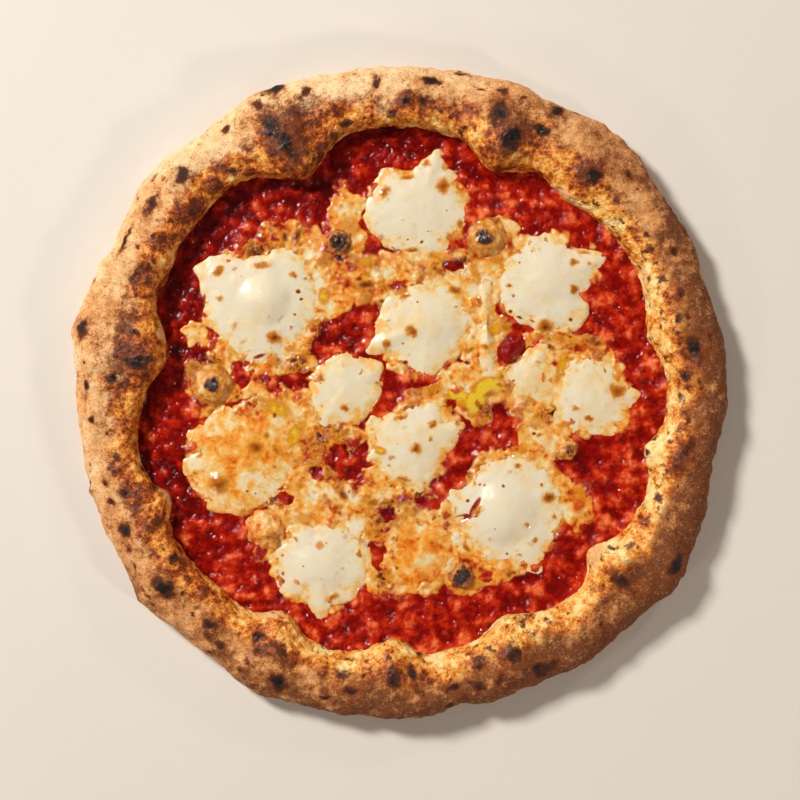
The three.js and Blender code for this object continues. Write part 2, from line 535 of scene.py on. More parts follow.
@dataclass(frozen=True)
class MeltFinish:
    """Melted cheese and the oily film around it, from orange oil to white curd."""

    name: str
    mottle: float = 0.5
    rough: float = 0.3
    soft: float = 0.3
    relief: float = 0.3
    glint: float = 0.12
    ripple: float = 2.4
    coat: float = 0.5

    def make(self) -> bpy.types.Material:
        """Lays out the melted cheese's nodes.

        Returns:
            The material; it reads cream, brown, oil and red.
        """
        b = Bench(self.name)
        broad, mid, fine = b.noise(7, 3, 1.2), b.noise(2.4, 4, 0.8), b.noise(0.7, 3)
        cream = b.stirred(b.field("cream"), (broad, 1.7 * self.mottle),
                          (b.noise(4.2, 2, 1.0), 1.1 * self.mottle), (fine, 0.25 * self.mottle))
        colour = b.ramp(cream, (0.02, "8A0E02"), (0.16, "BE3C06"), (0.3, "E07814"),
                        (0.46, "F09C34"), (0.62, "F2BC64"), (0.78, "EFD6A0"), (0.95, "EAE1C8"))
        flecks = b.step(b.stirred(b.noise(2.2, 2, 0.8), (broad, 0.5)), 0.56, 0.8, 0.0, 0.4)
        fade = b.step(cream, 0.85, 0.5)
        flecks = b.math("MULTIPLY", flecks, fade)
        colour = b.mix(flecks, colour, b.ramp(broad, (0.35, "B8480C"), (0.65, "D98A24")))
        oil = b.stirred(b.field("oil"), (mid, 0.5), (broad, 0.3))
        yellow = b.ramp(b.stirred(oil, (broad, 0.7), (mid, 0.3)), (0.3, "B45A06"),
                        (0.6, "D47E0A"), (0.86, "DE9E10"), (1.0, "E8C42A"))
        pool = b.step(oil, 0.2, 0.8)
        colour = b.mix(pool, colour, yellow)
        red = b.stirred(b.field("red"), (mid, 0.6), (fine, 0.3))
        colour = b.mix(b.step(red, 0.2, 0.8), colour,
                       b.ramp(mid, (0.3, "6E0602"), (0.7, "C02408")))
        burn = b.stirred(b.field("brown"), (mid, 0.16), (fine, 0.14))
        toasted = b.ramp(burn, (0.06, "EABC60"), (0.2, "DA9524"), (0.36, "BA6810"),
                         (0.55, "6E300A"), (0.8, "1A0E0A"))
        colour = b.mix(b.step(burn, 0.08, 0.28), colour, toasted)
        rough = b.math("SUBTRACT", b.stirred(self.rough, (fine, 0.2)),
                       b.math("MULTIPLY", pool, 0.2), clamp=True)
        normal = b.bump(b.stirred(mid, (fine, 0.6)), self.relief)
        wet = b.bump(b.noise(self.ripple, 1, 0.6), self.glint)
        return b.finish({"Base Color": colour, "Roughness": rough, "Normal": normal,
                         "Subsurface Weight": self.soft,
                         "Subsurface Radius": (1.0, 0.6, 0.25),
                         "Subsurface Scale": 0.0012,
                         "Specular IOR Level": 0.35, "Coat Weight": self.coat,
                         "Coat Roughness": 0.06, "Coat Normal": wet})


@dataclass(frozen=True)
class TableFinish:
    """A plain pale surface under the pizza."""

    colour: str = "E6E1D9"
    shade: str = "E5E0D8"

    def make(self) -> bpy.types.Material:
        """Lays out the table's nodes.

        Returns:
            The material.
        """
        b = Bench("pale_table")
        tone = b.ramp(b.noise(60, 2), (0.2, self.colour), (0.8, self.shade))
        return b.finish({"Base Color": tone, "Roughness": 0.9})


# -------------------------------------------------------------------------------- the crust


@dataclass(frozen=True)
class Swell:
    """A swell or hollow of the rim, by its angle and width in degrees."""

    at: float
    wide: float
    out: float
    inward: float
    up: float


@dataclass(frozen=True)
class Mark:
    """A mark on the rim: its angle, its radius seen from above, its size and its strength."""

    at: float
    radius: float
    wide: float
    tall: float
    level: float = 1.0


def marks(*rows: tuple[float, ...]) -> list[Mark]:
    """Returns a mark for each row of numbers."""
    return [Mark(*row) for row in rows]


@dataclass
class Skin:
    """The rim's skin: where each vertex lies around it and across it."""

    turn: Array  # angle around the pizza, in radians
    lift: Array  # angle around the section, in radians
    arc: Array  # millimetres from the crest, outside being positive
    place: Array  # the vertex on the plain section
    middle: float  # radius of the crest

    def __post_init__(self) -> None:
        """Unrolls the skin, straight for bubbles and frayed for scorches."""
        self.wide, self.fine = Grain(3), Grain(17)
        around = self.turn * self.middle
        self.smooth = Ground(around, self.arc)
        self.frayed = Ground.shaken(around, self.arc, self.place, Grain(29), 1.3, 5,
                                    apart=(0, 300))

    def facing(self, degrees: float) -> Array:
        """Returns how far each vertex faces a direction: 1 straight at it, -1 away from it."""
        return np.cos(self.turn - math.radians(degrees))


@dataclass
class Rim:
    """The base and the raised rim, as one piece of dough."""

    outer: float = 156.3
    inner: float = 127.8
    height: float = 22.0
    belly: float = 0.42
    power: float = 2.3
    steep: float = 1.5
    base_thick: float = 3.5
    slack: float = 1.9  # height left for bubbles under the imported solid's crown
    leveling: float = 23.0  # height above which bubbles level off
    ceiling: float = 27.0  # height that none reaches
    unrolled: float = 142.0  # radius at which small marks are laid out
    steps_around: int = 1100
    sample: float = math.radians(30)  # a plain stretch, where the section is measured
    wide_rows: float = 1.5  # spacing of the rows below the widest line
    close_rows: float = 0.82  # spacing of those above it
    under: tuple[float, ...] = (0, 30, 60, 88, 112, 128)  # radii of the underside's rows
    over: tuple[float, ...] = (122, 90, 0)  # radii of the rows under the sauce
    swells: tuple[Swell, ...] = (
        Swell(14, 8, -0.5, 6.5, 1), Swell(50, 9, 5, 5, 1.5), Swell(68, 7, 2, 11.5, 4),
        Swell(89, 6, 0.8, -1, 2), Swell(114, 8, 3, 14, 4), Swell(138, 9, 3.5, -0.5, 1),
        Swell(153, 5, -1.2, 1.5, 1), Swell(166, 7, 3, 2, 1), Swell(172, 8.5, -0.5, 12.5, 4),
        Swell(192, 6, -1.2, -1.5, -1), Swell(204, 4, 0, 5.5, 0), Swell(218, 6, 2.5, -2, 1),
        Swell(243, 5, 2, 9, 1), Swell(268, 6, -1, 9.5, 2), Swell(281, 4, -4, 2, -1),
        Swell(294, 8, -4, 10, 2), Swell(320.5, 5, 0.5, 9.5, 2), Swell(327, 6, 4.5, 2, 1),
        Swell(347, 5, -3, 7.5, 1))
    # Degrees around, radius, width in degrees, depth in millimetres, strength
    scorches: list[Mark] = field(default_factory=lambda: marks(
        (48.5, 138, 3.5, 8), (44, 149.5, 3, 3, .7), (47, 147, 1.5, 3, .6), (42, 137, 2, 6, .6),
        (34, 155, 3, 4, .7), (30, 155, 2, 3, .6), (20, 141, 3, 4, .8), (15, 141, 2, 5, .8),
        (15, 136, 2, 3, .7), (9, 140.5, 5, 6, .9), (3.5, 135, 3, 5, .8), (10, 149, 5, 4, .6),
        (17.5, 129, 2, 3, .6), (8, 127, 2, 3, .6), (112.5, 157, 3, 5), (116, 139, 4, 11),
        (114.5, 130, 4, 10), (110, 122, 2, 4, .6), (111, 142, 5, 8, .6), (94.5, 148, 2, 7, .8),
        (98.5, 153.5, 1.2, 1.5, .6), (84.5, 149, 3, 4.5), (89, 139, 3, 5, .8),
        (85.5, 139, 2.5, 6, .8), (79, 154.5, 4, 1.5, .6), (75.5, 149.5, 4, 2, .6),
        (70.5, 139.5, 4.5, 9), (66.5, 131, 5, 11), (62, 141, 4, 5, .9), (61, 154, 2.5, 4),
        (67.5, 152, 1, 2, .6), (123.5, 151, 2, 2.5, .8), (126.5, 156.5, 1.5, 2, .6),
        (135.5, 146, 5, 9, .78), (143, 149, 5, 6), (151, 150, 6.5, 2, .9), (147.5, 139.5, 2, 4, .7),
        (153, 134.5, 5, 6, .75), (132, 136, 4, 5, .7), (122, 138, 4, 8, .5), (168.5, 154, 3.5, 4.5),
        (159.5, 148, 1.5, 2, .6), (170.5, 144.5, 3, 1.5, .7), (168, 148.5, 1.2, 1.6, .7),
        (174.5, 150.5, 1, 1.5, .6), (177, 154, 1.2, 2, .6), (178.5, 149.5, 2.5, 3, .8),
        (177, 137.5, 2.5, 5), (172.5, 135.5, 2, 4), (173, 126, 5, 10), (167, 131, 2, 5, .8),
        (164, 134, 3, 6, .6), (185, 147.5, 1.5, 3, .8), (194.5, 143, 1.2, 2, .7),
        (200.5, 147.5, 2, 3, .7), (200, 139.5, 3, 4, .8), (206.5, 146, 3, 6, .9),
        (209.5, 148.5, 3, 4, .6), (213, 151, 3, 1.5, .6), (219.5, 145.5, 5.5, 7),
        (216, 134.5, 2.5, 6, .7), (187.5, 141, 2, 3, .6), (182, 134, 5, 6, .5),
        (203.5, 136, 8, 8, .45), (219, 153.5, 5, 1.2, .7), (230.5, 142.5, 3.5, 6, .9),
        (232, 147, 4, 6, .55), (236.5, 152, 1.2, 2, .7), (233.5, 154, 1.2, 2, .7),
        (239.5, 134, 3, 6, .8), (247, 149, 4.5, 7), (256, 148.5, 2.5, 3.5, .8),
        (260, 143, 4, 4.5, .85), (245, 134, 6, 7, .65), (263.5, 131.5, 1, 2.5, .7),
        (268.5, 134.5, 3.5, 11, .8), (272.5, 133, 2.5, 8, .8), (280, 141.5, 3, 4, .85),
        (283.5, 142, 2, 4, .7), (285.5, 135, 2, 6, .65), (293.5, 134, 3.5, 10, .9),
        (297, 147, 4, 8), (275.5, 138, 1.5, 2, .7), (242, 136, 2, 3, .7), (311, 145, 2, 3, .7),
        (319.5, 137, 4, 12, .75), (328, 153.5, 4.5, 6), (326.5, 131, 2.5, 4, .7),
        (316.5, 133, 3, 4, .5), (333, 131, 1.5, 2, .6), (349, 138, 6, 7, .75), (345, 135, 5, 6, .6),
        (353, 134, 2, 3, .6), (359, 141, 1.5, 2, .7), (359, 146, 1.5, 2, .7),
        (341.5, 139, 1.5, 2, .6), (336, 134, 1.5, 2, .6), (217.5, 158.5, 5, 3, .7),
        (197.5, 157, 4, 4, .7)))
    # Degrees around, radius, width and depth in millimetres, rise
    bubbles: list[Mark] = field(default_factory=lambda: marks(
        (68, 133, 26, 22, 2.4), (114, 133, 26, 26, 2.4), (172.5, 129, 22, 20, 2.4),
        (50, 137, 16, 16, 1.8), (88, 141, 24, 16, 1.5), (135, 145, 24, 18, 1.6),
        (153, 138, 18, 18, 1.3), (200, 138, 18, 16, 1.4), (218, 144, 22, 18, 1.6),
        (230, 142, 16, 16, 1.3), (246, 140, 22, 22, 1.8), (268, 132, 18, 22, 2.0),
        (293, 136, 24, 24, 2.0), (320, 132, 22, 22, 2.0), (328, 151, 18, 16, 1.6),
        (347, 136, 20, 20, 1.8), (12, 138, 24, 20, 1.8), (30, 146, 20, 16, 1.3),
        (100, 148, 20, 16, 1.2), (186, 146, 20, 16, 1.2), (160, 148, 18, 14, 1.2),
        (280, 146, 16, 14, 1.2), (308, 144, 20, 18, 1.4), (356, 146, 18, 16, 1.2),
        (197.5, 157, 9, 9, 1.6), (218, 158, 14, 9, 1.6), (259, 146, 14, 14, 1.2)))
    folds: list[Mark] = field(default_factory=lambda: marks(
        (50, 122, 9, 7), (203.5, 122, 7, 6), (239, 120, 9, 9, .9), (320, 121, 8, 6, .9),
        (303, 120, 8, 5, .8), (292, 119, 7, 4, .7), (26, 129, 8, 4, .7), (166, 120, 5, 4, .9)))
    orange: list[Mark] = field(default_factory=lambda: marks(
        (65, 138, 12, 14), (111, 138, 14, 16), (203, 137, 12, 10), (137, 134, 12, 8, .8),
        (50, 137, 8, 10, .8), (245, 134, 10, 9, .9), (172, 134, 12, 10, .9), (348, 136, 10, 10, .9),
        (320, 138, 7, 12, .8), (270, 135, 12, 10, .8), (292, 134, 10, 10, .8), (8, 138, 12, 9, .8),
        (88, 139, 10, 7, .8)))

    def _swell(self, turn: Array, sizes: list[float]) -> Array:
        """Adds up every swell.

        Args:
            turn: angles around the pizza, in radians.
            sizes: the size of each swell at its middle.

        Returns:
            Their sum at each angle.
        """
        total = np.zeros_like(turn)
        for swell, size in zip(self.swells, sizes):
            away = (turn - math.radians(swell.at) + math.pi) % (2 * math.pi) - math.pi
            total += size * np.exp(-(away / math.radians(swell.wide)) ** 2)
        return total

    def _high(self, turn: Array) -> Array:
        """Returns the height of the plain section at each angle in radians."""
        return self.height + self._swell(turn, [s.up for s in self.swells]) - self.slack

    def outline(self, turn: Array) -> Array:
        """Returns the outer radius."""
        return self.outer + self._swell(turn, [s.out for s in self.swells])

    def inside(self, turn: Array) -> Array:
        """Returns the radius at which the rim meets the sauce."""
        return self.inner - self._swell(turn, [s.inward for s in self.swells])

    def section(self, turn: Array, lift: Array) -> tuple[Array, Array]:
        """Finds points on the rim's section.

        Args:
            turn: angle around the pizza, in radians.
            lift: angle around the section, from -90 degrees underneath, over the top.

        Returns:
            The radius and the height of each point.
        """
        outer, inner = self.outline(turn), self.inside(turn)
        high = self._high(turn)
        low = high * self.belly
        flat = np.sign(np.cos(lift)) * np.abs(np.cos(lift)) ** (2 / self.power)
        upright = np.sign(np.sin(lift)) * np.abs(np.sin(lift)) ** (2 / self.power)
        # The upper left of the rim stands up steeply over the sauce
        power = self.power + self.steep * ease(-0.1, 0.75, np.cos(turn - math.radians(150)))
        power = np.where(flat < 0, power, self.power)
        scale = (np.abs(flat) ** power + np.abs(upright) ** power) ** (-1 / power)
        radius = (outer + inner) / 2 + (outer - inner) / 2 * flat * scale
        return radius, low + np.where(upright > 0, high - low, low) * upright * scale

    def _foot(self, turn: Array) -> Array:
        """Returns the lift at which the section comes down to the base."""
        low = self._high(turn) * self.belly
        return math.pi + np.arcsin(((low - self.base_thick) / low) ** (self.power / 2))

    def _lifts(self) -> Array:
        """Spaces the section's rows, closer together where they are seen.

        Returns:
            The lift of each row.
        """
        lift = np.linspace(-math.pi / 2, 1.2 * math.pi, 4000)
        radius, height = self.section(np.full_like(lift, self.sample), lift)
        walked = np.hypot(np.diff(radius), np.diff(height))
        step = np.where(lift[1:] < -0.1, self.wide_rows, self.close_rows)
        count = np.concatenate([[0], np.cumsum(walked / step)])
        return np.interp(np.arange(int(count[-1]) + 1), count, lift)

    def _arc(self, lift: Array) -> Array:
        """Measures along the skin.

        Args:
            lift: angles around the section.

        Returns:
            How far each is from the crest, outside being positive.
        """
        turned = np.linspace(-math.pi / 2, 1.3 * math.pi, 3000)
        middle = np.full_like(turned, self.sample)
        radius, height = self.section(middle, turned)
        walked = np.concatenate([[0], np.cumsum(np.hypot(np.diff(radius), np.diff(height)))])
        crest = np.interp(math.pi / 2, turned, walked)
        return crest - np.interp(lift, turned, walked)

    def _arc_of(self, at: float, radius: float) -> float:
        """Finds a radius seen from above on the skin.

        Args:
            at: angle around the pizza, in degrees.
            radius: the radius.

        Returns:
            How far it is from the crest, outside being positive.
        """
        turn = np.array([math.radians(at)])
        outer, inner = self.outline(turn)[0], self.inside(turn)[0]
        share = (radius - (outer + inner) / 2) / ((outer - inner) / 2)
        share = math.copysign(min(abs(share), 0.999) ** (self.power / 2), share)
        return float(self._arc(np.array([math.acos(share)]))[0])

    def _dabs(self, wanted: list[Mark], degrees: bool = True) -> list[Dab]:
        """Lays marks out on the unrolled skin.

        Args:
            wanted: the marks.
            degrees: whether their width is in degrees or in millimetres.

        Returns:
            Dabs whose x is the way around at the crest and whose y is the way across it.
        """
        laid = []
        middle = (self.outer + self.inner) / 2
        for mark in wanted:
            at = (mark.at + 180) % 360 - 180
            high = self._arc_of(at, mark.radius + mark.tall / 2)
            low = self._arc_of(at, mark.radius - mark.tall / 2)
            around = math.radians(mark.wide) * mark.radius if degrees else mark.wide
            tall = max((high - low) / 2, mark.tall / 2) if degrees else mark.tall / 2
            for lap in (-360, 0, 360):
                if abs(at + lap) < 200:
                    laid.append(Dab(math.radians(at + lap) * middle, (high + low) / 2,
                                    0.45 * around, 0.9 * tall, 0.0, mark.level))
        return laid

    def _mesh(self, lifts: Array) -> bpy.types.Mesh:
        """Spins the section into a closed ring with its base.

        Args:
            lifts: the lift of each row of the rim.

        Returns:
            A mesh whose field row numbers its rows from the middle of the underside.
        """
        bm = bmesh.new()
        rows = bm.verts.layers.float.new("row")
        radius, height = self.section(np.full_like(lifts, self.sample), lifts)
        radii = np.concatenate([self.under, radius, self.over])
        heights = np.concatenate([np.zeros(len(self.under)), height,
                                  np.full(len(self.over), self.base_thick)])
        line = []
        for number, (r, z) in enumerate(zip(radii, heights)):
            line.append(bm.verts.new((r, 0, z)))
            line[-1][rows] = number
        edges = [bm.edges.new(pair) for pair in zip(line, line[1:])]
        bmesh.ops.spin(bm, geom=line + edges, cent=(0, 0, 0), axis=(0, 0, 1),
                       angle=2 * math.pi, steps=self.steps_around, use_merge=True)
        poles = [v for v in bm.verts if math.hypot(v.co.x, v.co.y) < 1e-4]
        bmesh.ops.remove_doubles(bm, verts=poles, dist=1e-3)
        bmesh.ops.recalc_face_normals(bm, faces=bm.faces)
        mesh = bpy.data.meshes.new("crust")
        bm.to_mesh(mesh)
        bm.free()
        return mesh

    def _rows(self, mesh: bpy.types.Mesh) -> Array:
        """Reads and removes the row numbers.

        Args:
            mesh: the spun mesh.

        Returns:
            The row of each vertex, the rim's first being 0 and the underside's less.
        """
        row = np.empty(len(mesh.vertices), dtype=np.float32)
        mesh.attributes["row"].data.foreach_get("value", row)
        mesh.attributes.remove(mesh.attributes["row"])
        return np.rint(row).astype(int) - len(self.under)

    def _slope(self, turn: Array, lift: Array) -> Array:
        """Finds the way straight out of the section.

        Args:
            turn: angle around the pizza of each point.
            lift: angle around the section of each point.

        Returns:
            The radius and the height of a step of length 1, one to a row.
        """
        step = 0.01
        ahead, behind = self.section(turn, lift + step), self.section(turn, lift - step)
        slope = np.stack([ahead[1] - behind[1], behind[0] - ahead[0]], axis=1)
        return slope / (np.linalg.norm(slope, axis=1, keepdims=True) + 1e-9)

    def _char(self, skin: Skin, scorches: list[Dab]) -> Array:
        """Finds the scorches.

        Args:
            skin: the rim's skin.
            scorches: the large ones, laid out on it.

        Returns:
            How charred each point is, 0 to about 1.
        """
        place, arc = skin.place, skin.arc
        char = skin.frayed.spots(scorches, 2.6)
        char = np.maximum(char, skin.frayed.spots(self._small_scorches(), 3.0)) ** 1.2
        char *= 0.9 + 0.4 * skin.fine.layered(place, 4.5, 3, 0.6)
        # Fine burnt fibres on the inner side
        blot = skin.fine.layered(place + 200, 4.5, 4, 0.62) + 0.6 * skin.wide.at(place + 50, 17)
        band = ease(1, -5, arc) * ease(-24, -17, arc) * ease(-0.5, 0.4, skin.facing(-30))
        char = np.maximum(char, 0.46 * ease(0.16, 0.9, blot) * band)
        # The bay at the upper left, in the rim's own shade, is baked less
        bay = ease(0.82, 1, skin.facing(157))
        return char * (1 - 0.4 * bay * np.clip(0.9 - char, 0, 1))

    def _char_below(self, skin: Skin, char: Array, moved: Array, over: Array) -> Array:
        """Adds the scorches of the underside, and darkens the lower right side below its belly, partly
        as char and partly as painted shade.

        Args:
            skin: the rim's skin.
            char: how charred each point is above.
            moved: where each point has been moved.
            over: whether it lies under the sauce.

        Returns:
            How charred each point is, 0 to about 1.
        """
        below = Ground(moved[:, 0], moved[:, 1]).spots(self._under_scorches())
        flat = ease(1.5, 0.2, moved[:, 2]) * ~over
        char = np.maximum(char * (1 - flat), below * flat)
        # The lower right side, turned from the lamp, is dark below its belly: partly char, partly
        # painted shade
        turned_from_lamp = ease(-0.1, 0.5, skin.facing(-48))
        side = 0.5 * turned_from_lamp * ease(15, 25, skin.arc) * (1 - flat)
        return np.maximum(char, side * (0.75 + 0.5 * skin.wide.layered(skin.place, 9)))

    def _rise(self, skin: Skin, char: Array) -> Array:
        """Finds how far the skin stands out from its plain section.

        Args:
            skin: the rim's skin.
            char: how charred each point is.

        Returns:
            The height of bubbles, waves and creases at each point.
        """
        place, arc, lift = skin.place, skin.arc, skin.lift
        rise = skin.smooth.domes(self._dabs(self.bubbles, False), 1.3)
        rise += skin.smooth.domes(self._small_bubbles(), 0.9)
        rise += 1.5 * skin.wide.at(place, 26) + 1.1 * skin.wide.at(place + 90, 12)
        rise += 0.75 * skin.fine.at(place, 6) + 0.4 * skin.fine.at(place, 3)
        stretched = np.stack([skin.turn * skin.middle / 9, arc / 1.5, skin.turn * 0], axis=1)
        crease = 1 - np.abs(skin.fine.at(stretched, 1.0))
        rise -= 0.8 * np.clip(crease - 0.78, 0, 1) * 4 * ease(-4, -14, arc) * ease(-34, -24, arc)
        rise += 0.7 * char * skin.fine.layered(place, 3.2, 2)
        # None under the base, nor where the rim comes down to the sauce
        return rise * (ease(-1.45, -0.7, lift) * ease(1.18 * math.pi, 1.05 * math.pi, lift))

    def _toast_and_shade(self, skin: Skin, halo: Array) -> Array:
        """Finds how brown the floury skin is, with painted shade towards the lower right, turned from
        the lamp.

        Args:
            skin: the rim's skin.
            halo: nearness to a scorch.

        Returns:
            The browning at each point, 0 to about 1.
        """
        place = skin.place
        # The skin browns towards the lower right, turned from the lamp, and pales towards the upper
        # left: partly toasting, partly painted shade and light
        far = skin.facing(-44)
        toast_and_shade = 0.3 + 0.24 * far + 0.2 * ease(0.0, 0.7, far) + 0.2 * skin.wide.layered(place, 30)
        toast_and_shade += 0.16 * skin.wide.at(place, 7) + 0.3 * halo
        toast_and_shade += (0.12 + 0.2 * far) * ease(-2, 14, skin.arc)
        toast_and_shade += 0.26 * ease(-0.82, 1, skin.facing(14)) ** 6
        toast_and_shade += 0.12 * ease(0, 1, skin.facing(195))
        return toast_and_shade + 0.34 * skin.fine.layered(place + 60, 6, 3, 0.6) * ease(-0.2, 0.6, far)

    def build(self, finish: bpy.types.Material) -> bpy.types.Object:
        """Makes the crust.

        Args:
            finish: its material.

        Returns:
            The piece.
        """
        lifts = self._lifts()
        mesh = self._mesh(lifts)
        points = read_points(mesh)
        row = self._rows(mesh)
        under, over = row < 0, row >= len(lifts)
        on_rim = ~under & ~over
        turn = np.arctan2(points[:, 1], points[:, 0])
        share = np.clip(row, 0, len(lifts) - 1) / (len(lifts) - 1)
        usual = np.interp(share * (len(lifts) - 1), np.arange(len(lifts)), lifts)
        # The last rows close up to the foot, whose lift changes around the rim
        lift = usual + (self._foot(turn) - lifts[-1]) * ease(0.75, 1.0, share)
        radius, height = self.section(turn, lift)
        slope = self._slope(turn, lift)

        middle = (self.outer + self.inner) / 2
        place = np.stack([radius * np.cos(turn), radius * np.sin(turn), height], axis=1)
        skin = Skin(turn, lift, self._arc(lift), place, middle)
        scorches = self._dabs(self.scorches)
        halo = skin.frayed.spots([Dab(d.x, d.y, 2.1 * d.long + 1, 2.1 * d.wide + 1, 0, d.level)
                                  for d in scorches], 2.5)
        golden = skin.frayed.spots(self._dabs(self.orange), 2.4)
        flap = skin.frayed.spots(self._dabs(self.folds), 4)
        glaze = ease(3.0, -9.0, skin.arc + 6.0 * skin.wide.layered(place, 16))
        glaze = glaze + 0.6 * golden + 0.25 * halo
        char = np.where(on_rim, self._char(skin, scorches), 0)

        rise = self._rise(skin, char)
        radius = radius + slope[:, 0] * rise
        height = np.clip(height + slope[:, 1] * rise, 0.0, None)
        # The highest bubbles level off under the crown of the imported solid
        room = self.ceiling - self.leveling
        capped = self.ceiling - room * np.exp((self.leveling - height) / room)
        height = np.where(height > self.leveling, capped, height)
        radius[~on_rim] = np.hypot(points[~on_rim, 0], points[~on_rim, 1])
        height[under] = 0.0
        height[over] = self.base_thick
        radius[over] *= self.inside(turn[over]) / self.inner
        # The outer rows underneath follow the outline
        radius[under] *= np.where(radius[under] > 100, (self.outline(turn[under])
                                  + self.inside(turn[under])) / 2 / middle, 1)
        moved = np.stack([radius * np.cos(turn), radius * np.sin(turn), height], axis=1)
        write_points(mesh, moved)

        golden_and_painted_light = 0.48 + 0.46 * skin.wide.layered(place, 10, 3) + 0.3 * golden + 0.22 * halo
        # Painted light and shade: the inner wall is paler at the lower right, where it faces the lamp,
        # and browner at the upper left, where it is turned from it
        golden_and_painted_light -= 0.24 * ease(-0.2, 0.9, skin.facing(-40)) * ease(-2, -12, skin.arc)
        golden_and_painted_light += 0.14 * ease(-0.1, 0.8, skin.facing(150))
        set_field(mesh, "char", self._char_below(skin, char, moved, over))
        set_field(mesh, "glaze", np.where(on_rim, glaze, 0))
        set_field(mesh, "golden", golden_and_painted_light)
        set_field(mesh, "flap", np.where(on_rim, flap, 0))
        set_field(mesh, "toast_and_shade", self._toast_and_shade(skin, halo))
        return hand_in(mesh, "baked_crust", finish, ["crust"])

    def _small_scorches(self) -> list[Dab]:
        """Scatters small brown specks over the rim.

        Returns:
            The specks, on the unrolled skin.
        """
        dice = np.random.default_rng(41)
        laid = []
        for number in range(560):
            size = 0.55 + 2.3 * dice.uniform() ** 2.8
            place = dice.uniform(-24, 26) if number % 3 else dice.uniform(-24, 0)
            laid.append(Dab(dice.uniform(-math.pi, math.pi) * self.unrolled, place,
                            size * dice.uniform(1, 1.8), size, dice.uniform(-30, 30),
                            dice.uniform(0.25, 0.7)))
        return laid

    def _under_scorches(self) -> list[Dab]:
        """Scatters leopard spots over the underside.

        Returns:
            The spots, seen from above.
        """
        dice = np.random.default_rng(43)
        laid = []
        for _ in range(150):
            turn, out = dice.uniform(0, 2 * math.pi), 150 * math.sqrt(dice.uniform())
            size = dice.uniform(1.5, 7)
            laid.append(Dab(out * math.cos(turn), out * math.sin(turn),
                            size * dice.uniform(1, 1.6), size, dice.uniform(0, 180),
                            dice.uniform(0.45, 1)))
        return laid

    def _small_bubbles(self) -> list[Dab]:
        """Scatters small bubbles, most of them on the oily inner side.

        Returns:
            The bubbles, on the unrolled skin.
        """
        dice = np.random.default_rng(47)
        laid = []
        for number in range(1500):
            inner = number % 3 != 0
            place = dice.uniform(-30, 2) if inner else dice.uniform(-5, 30)
            size = dice.uniform(0.9, 2.6) if inner else dice.uniform(1.2, 3.4)
            laid.append(Dab(dice.uniform(-math.pi, math.pi) * self.unrolled, place,
                            size * dice.uniform(1, 1.6), size, dice.uniform(-40, 40),
                            size * dice.uniform(0.1, 0.3) * (1 if inner else 0.6)))
        return laid


# ------------------------------------------------------------------------------ the topping


def dabs(*rows: tuple[float, ...]) -> list[Dab]:
    """Returns a dab for each row: x, y, size, then width, turn and level where they differ."""
    return [Dab(r[0], r[1], r[2], r[3] if len(r) > 3 else r[2], *r[4:]) for r in rows]


@dataclass(frozen=True)
class Strewn:
    """Small marks strewn at random over the topping."""

    count: int
    reach: float
    size: tuple[float, float]
    stretch: float
    level: tuple[float, float]
    tall: bool = False
    bunched: float = 0.0

    def over(self, dice: np.random.Generator) -> list[Dab]:
        """Strews the marks.

        Args:
            dice: the source of chance.

        Returns:
            The marks. Round ones have no stretch, tall ones have a level that grows with their
            size, and bunched ones are mostly small.
        """
        laid = []
        for _ in range(self.count):
            around, out = dice.uniform(0, 2 * math.pi), self.reach * math.sqrt(dice.uniform())
            size = dice.uniform(*self.size)
            if self.bunched:
                size = size ** 2 * self.bunched
            long, turn = size, 0.0
            if self.stretch:
                long, turn = size * dice.uniform(1, self.stretch), dice.uniform(0, 180)
            level = (size if self.tall else 1.0) * dice.uniform(*self.level)
            laid.append(Dab(out * math.cos(around), out * math.sin(around), long, size, turn, level))
        return laid


